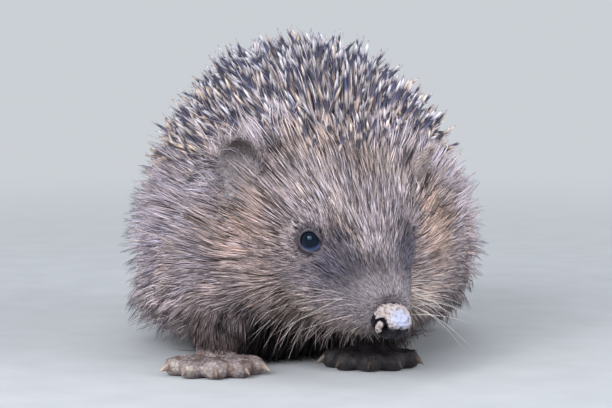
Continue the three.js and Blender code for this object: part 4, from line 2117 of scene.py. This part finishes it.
@dataclass
class Claws:
    """The curved claws of one foot."""

    foot: str
    sides: int = 10
    rings: int = 7
    thickness: float = 2.1
    point: float = 0.12
    taper: float = 0.72
    bow: float = 0.0007
    narrow: float = 0.8
    deep: float = 1.15
    stain: tuple[float, ...] = (1.0, 0.45, 0.35, 0.45, 1.0)

    def build(self, material: Material) -> Object:
        """Build a finer claw in the place of each of the foot's five.

        Args:
            material: what they are made of.

        Returns:
            The foot's claws.
        """
        whole = bmesh.new()
        values = []
        for number, stain in zip(TOES, self.stain):
            root, arm = claw_axis(self.foot, number)
            length = float(np.linalg.norm(arm))
            out = arm / length
            bm = bmesh.new()
            bmesh.ops.create_cone(
                bm, cap_ends=True, segments=self.sides, radius1=1.0, radius2=self.point, depth=1.0
            )
            long_edges = [e for e in bm.edges if abs(e.verts[0].co.z - e.verts[1].co.z) > 0.5]
            bmesh.ops.subdivide_edges(bm, edges=long_edges, cuts=self.rings)
            across = unit(np.cross(out, [0, 0, 1.0]))
            over = np.cross(across, out)
            for v in bm.verts:
                t = v.co.z + 0.5
                size = self.thickness * MM * (1 - self.taper * t**2.6)
                bow = self.bow * math.sin(math.pi * t)
                flat = across * v.co.x * size * self.narrow + over * (v.co.y * size * self.deep + bow)
                v.co = Vector(root + out * length * t + flat)
                values.append(t * stain)
            take(whole, bm)
        bmesh.ops.recalc_face_normals(whole, faces=whole.faces)
        mesh = mesh_of(whole, f"claws_{self.foot}")
        set_value(mesh, "along", np.array(values))
        obj = finish_object(mesh.name, mesh, material)
        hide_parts(*[f"claw_{self.foot}_{number}" for number in TOES])
        return obj


# ---------------------------------------------------------------- studio


@dataclass
class Studio:
    """The pale floor and backdrop, the soft lamps and the camera."""

    target: Place = (0.5, -71.5, 49.3)
    distance: float = 850.0
    elevation: float = 5.0
    lens: float = 178.6
    backdrop: tuple[float, float, float] = (0.60, 0.63, 0.67)
    sensor: float = 36.0
    floor_half: float = 20.0
    fade: tuple[float, float] = (0.16, 0.7)  # where the floor passes into the backdrop, in metres
    lit: Place = (0.0, -0.03, 0.045)

    def build(self) -> None:
        """Set up the floor, the lamps, the world and the camera."""
        self.camera()
        self.floor()
        self.lamp("key", (-0.3, -1.1, 0.6), 0.9, 9.0)
        self.lamp("glint", (-0.6, -0.95, 0.72), 0.45, 6.0)
        self.lamp("fill", (1.05, -0.6, 0.35), 0.9, 12.5, mirrored=False)
        self.lamp("side", (-1.1, -0.75, 0.08), 0.9, 10.5, mirrored=False)
        self.lamp("top", (0.0, 0.2, 1.2), 0.9, 2.5, mirrored=False)
        world = bpy.data.worlds.new("studio")
        bpy.context.scene.world = world
        world.use_nodes = True
        tree = world.node_tree
        sky = tree.nodes["Background"]
        strength = remap(tree, self.seen(tree), target=(0.5, 1.0))
        feed(sky, {"Color": (*self.backdrop, 1.0), "Strength": strength})
        bpy.context.scene.view_settings.view_transform = "Standard"

    @staticmethod
    def seen(tree: Tree) -> Plug:
        """Tell rays that see a surface from rays that light it.

        Args:
            tree: the tree that the nodes go in.

        Returns:
            A value that is 1 for the camera, mirrors and glass, and 0 for lighting.
        """
        rays = node(tree, "LightPath").outputs
        seen = reckon(tree, "MAXIMUM", rays["Is Camera Ray"], rays["Is Glossy Ray"])
        return reckon(tree, "MAXIMUM", seen, rays["Is Transmission Ray"])

    def camera(self) -> None:
        """Place the camera in front of the face, a little above it."""
        data = bpy.data.cameras.new("camera")
        data.lens, data.sensor_width = self.lens, self.sensor
        data.clip_start, data.clip_end = 0.01, 20.0
        camera = put("camera", data)
        tilt = math.radians(self.elevation)
        away = Vector((0.0, -math.cos(tilt), math.sin(tilt)))
        camera.location = Vector(self.target) * MM + away * self.distance * MM
        camera.rotation_euler = (math.radians(90 - self.elevation), 0.0, 0.0)
        bpy.context.scene.camera = camera

    def floor(self) -> None:
        """Lay a flat pale floor that fades into the backdrop further away and is dark for the light it
        throws back.
        """
        bm = bmesh.new()
        bmesh.ops.create_grid(bm, x_segments=2, y_segments=2, size=self.floor_half)
        obj = put("floor", mesh_of(bm, "floor"))
        material, tree, shader = blank_material("pale_floor")
        obj.data.materials.append(material)
        place, seen = own_place(tree), self.seen(tree)
        noise = node(tree, "TexNoise", {"Vector": place, "Scale": 60.0, "Detail": 3.0})
        shade = ramp_of(tree, noise.outputs["Fac"], ((0.3, (196, 200, 206)), (0.7, (204, 208, 214))))
        feed(shader, {"Base Color": blend(tree, seen, opaque(70, 74, 84), shade), "Roughness": 0.85})
        glow = node(tree, "Emission", {"Color": (*self.backdrop, 1.0), "Strength": 1.0})
        reach = node(tree, "VectorMath", {"0": place}, operation="LENGTH").outputs["Value"]
        far = remap(tree, reach, source=self.fade, interpolation_type="SMOOTHSTEP")
        share = reckon(tree, "MULTIPLY", far, seen)
        mixed = node(tree, "MixShader", {"0": share, "1": shader.outputs[0], "2": glow.outputs[0]})
        feed(tree.nodes["Material Output"], {"Surface": mixed.outputs[0]})

    def lamp(self, name: str, place: Place, size: float, power: float, mirrored: bool = True) -> None:
        """Add a soft square lamp that faces the animal, seen or not in wet surfaces.

        Args:
            name: its name.
            place: where it hangs, in metres.
            size: its width in metres.
            power: its power in watts.
            mirrored: whether wet surfaces mirror it.
        """
        data = bpy.data.lights.new(name, "AREA")
        data.size, data.energy = size, power
        lamp = put(name, data)
        lamp.location = Vector(place)
        lamp.visible_glossy = mirrored
        aim = Vector(self.lit) - lamp.location
        lamp.rotation_euler = aim.to_track_quat("-Z", "Y").to_euler()


# ---------------------------------------------------------------- the whole animal


def coats(lie: Lie, skin: Skin) -> list[Fur]:
    """List the kinds of hair in the order in which they grow.

    Args:
        lie: how the coat lies.
        skin: the skin it grows on.

    Returns:
        The coats, not yet grown.
    """
    muzzle = HairFinish("muzzle_hair", root=(128, 120, 126), middle=0.35, dark=0.35, light=1.3)
    face = HairFinish("face_hair", middle=0.5)
    chin = HairFinish("chin_hair", root=(120, 108, 108), middle=0.3, dark=0.4, light=1.35)
    guard = HairFinish("guard_hair", dark=0.6, light=1.35)
    ear = HairFinish("ear_hair", middle=0.3, dark=0.7)
    short = {"lie": lie, "skin": skin, "segments": 2, "most": 19000}
    long = {"lie": lie, "skin": skin, "segments": 3, "spread": 5, "curl": 0.02}
    loose = {"lie": lie, "skin": skin, "segments": 5, "spread": 14, "curl": 0.12}
    pairs, tufts, wisps = ((5, 0.3),), ((6, 0.5), (30, 0.15)), ((6, 0.85),)
    return [
        MuzzleFur("muzzle_fur", "fur", 13000, muzzle, spread=6, locks=(), **short),
        FaceFur("face_fur", "fur", 34000, face, spread=4, locks=pairs, shared=0.35, **short),
        ChinFur("chin_fur", "fur", 300, chin, locks=(), **loose),
        LongFur("long_fur", "fur", 34000, HairFinish("long_hair"), locks=tufts, shared=0.3, **long),
        GuardFur("guard_fur", "fur", 9000, guard, locks=wisps, **long),
        LimbFur("limb_fur", "dark_fur", 8000, HairFinish("limb_hair"), spread=9, **short),
        EarFur("ear_fur", "ear", 4500, ear, spread=12, locks=(), **short),
    ]


def main() -> None:
    """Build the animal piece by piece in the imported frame."""
    logging.basicConfig(level=logging.INFO, format="%(relativeCreated)d %(message)s")
    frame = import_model()
    log.info("frame with %d nodes", len(frame["nodes"]))
    Studio().build()
    head = HeadFrame()
    sockets = [Socket(head, side) for side in SIDES]
    lie = Lie(head, sockets, [EarForm(head, side) for side in SIDES])
    skin = Skin(head, lie)
    skin.build()
    log.info("skin: %d triangles", sum(len(p.vertices) - 2 for p in skin.mesh.polygons))
    Nose(head).build()
    eye_material = EyeFinish().make()
    for socket in sockets:
        Eye(socket).build(eye_material)
    horn = HornFinish().make()
    # Darker copy of the horn for the left forefoot's claws, as painted shade.
    shaded = HornFinish("shaded_horn", (44, 37, 36), (66, 56, 52), (132, 118, 106)).make()
    for foot in FEET:
        Claws(foot).build(shaded if foot == "fore_left" else horn)
    log.info("nose, eyes and claws")
    for coat in coats(lie, skin):
        pieces = coat.build()
        polygons = sum(len(piece.data.polygons) for piece in pieces)
        log.info("%s: %d pieces, %d polygons", coat.name, len(pieces), polygons)
    Quills(lie, skin).build()
    Whiskers(head).build()
    log.info("sizes written")


if __name__ == "__main__":
    main()
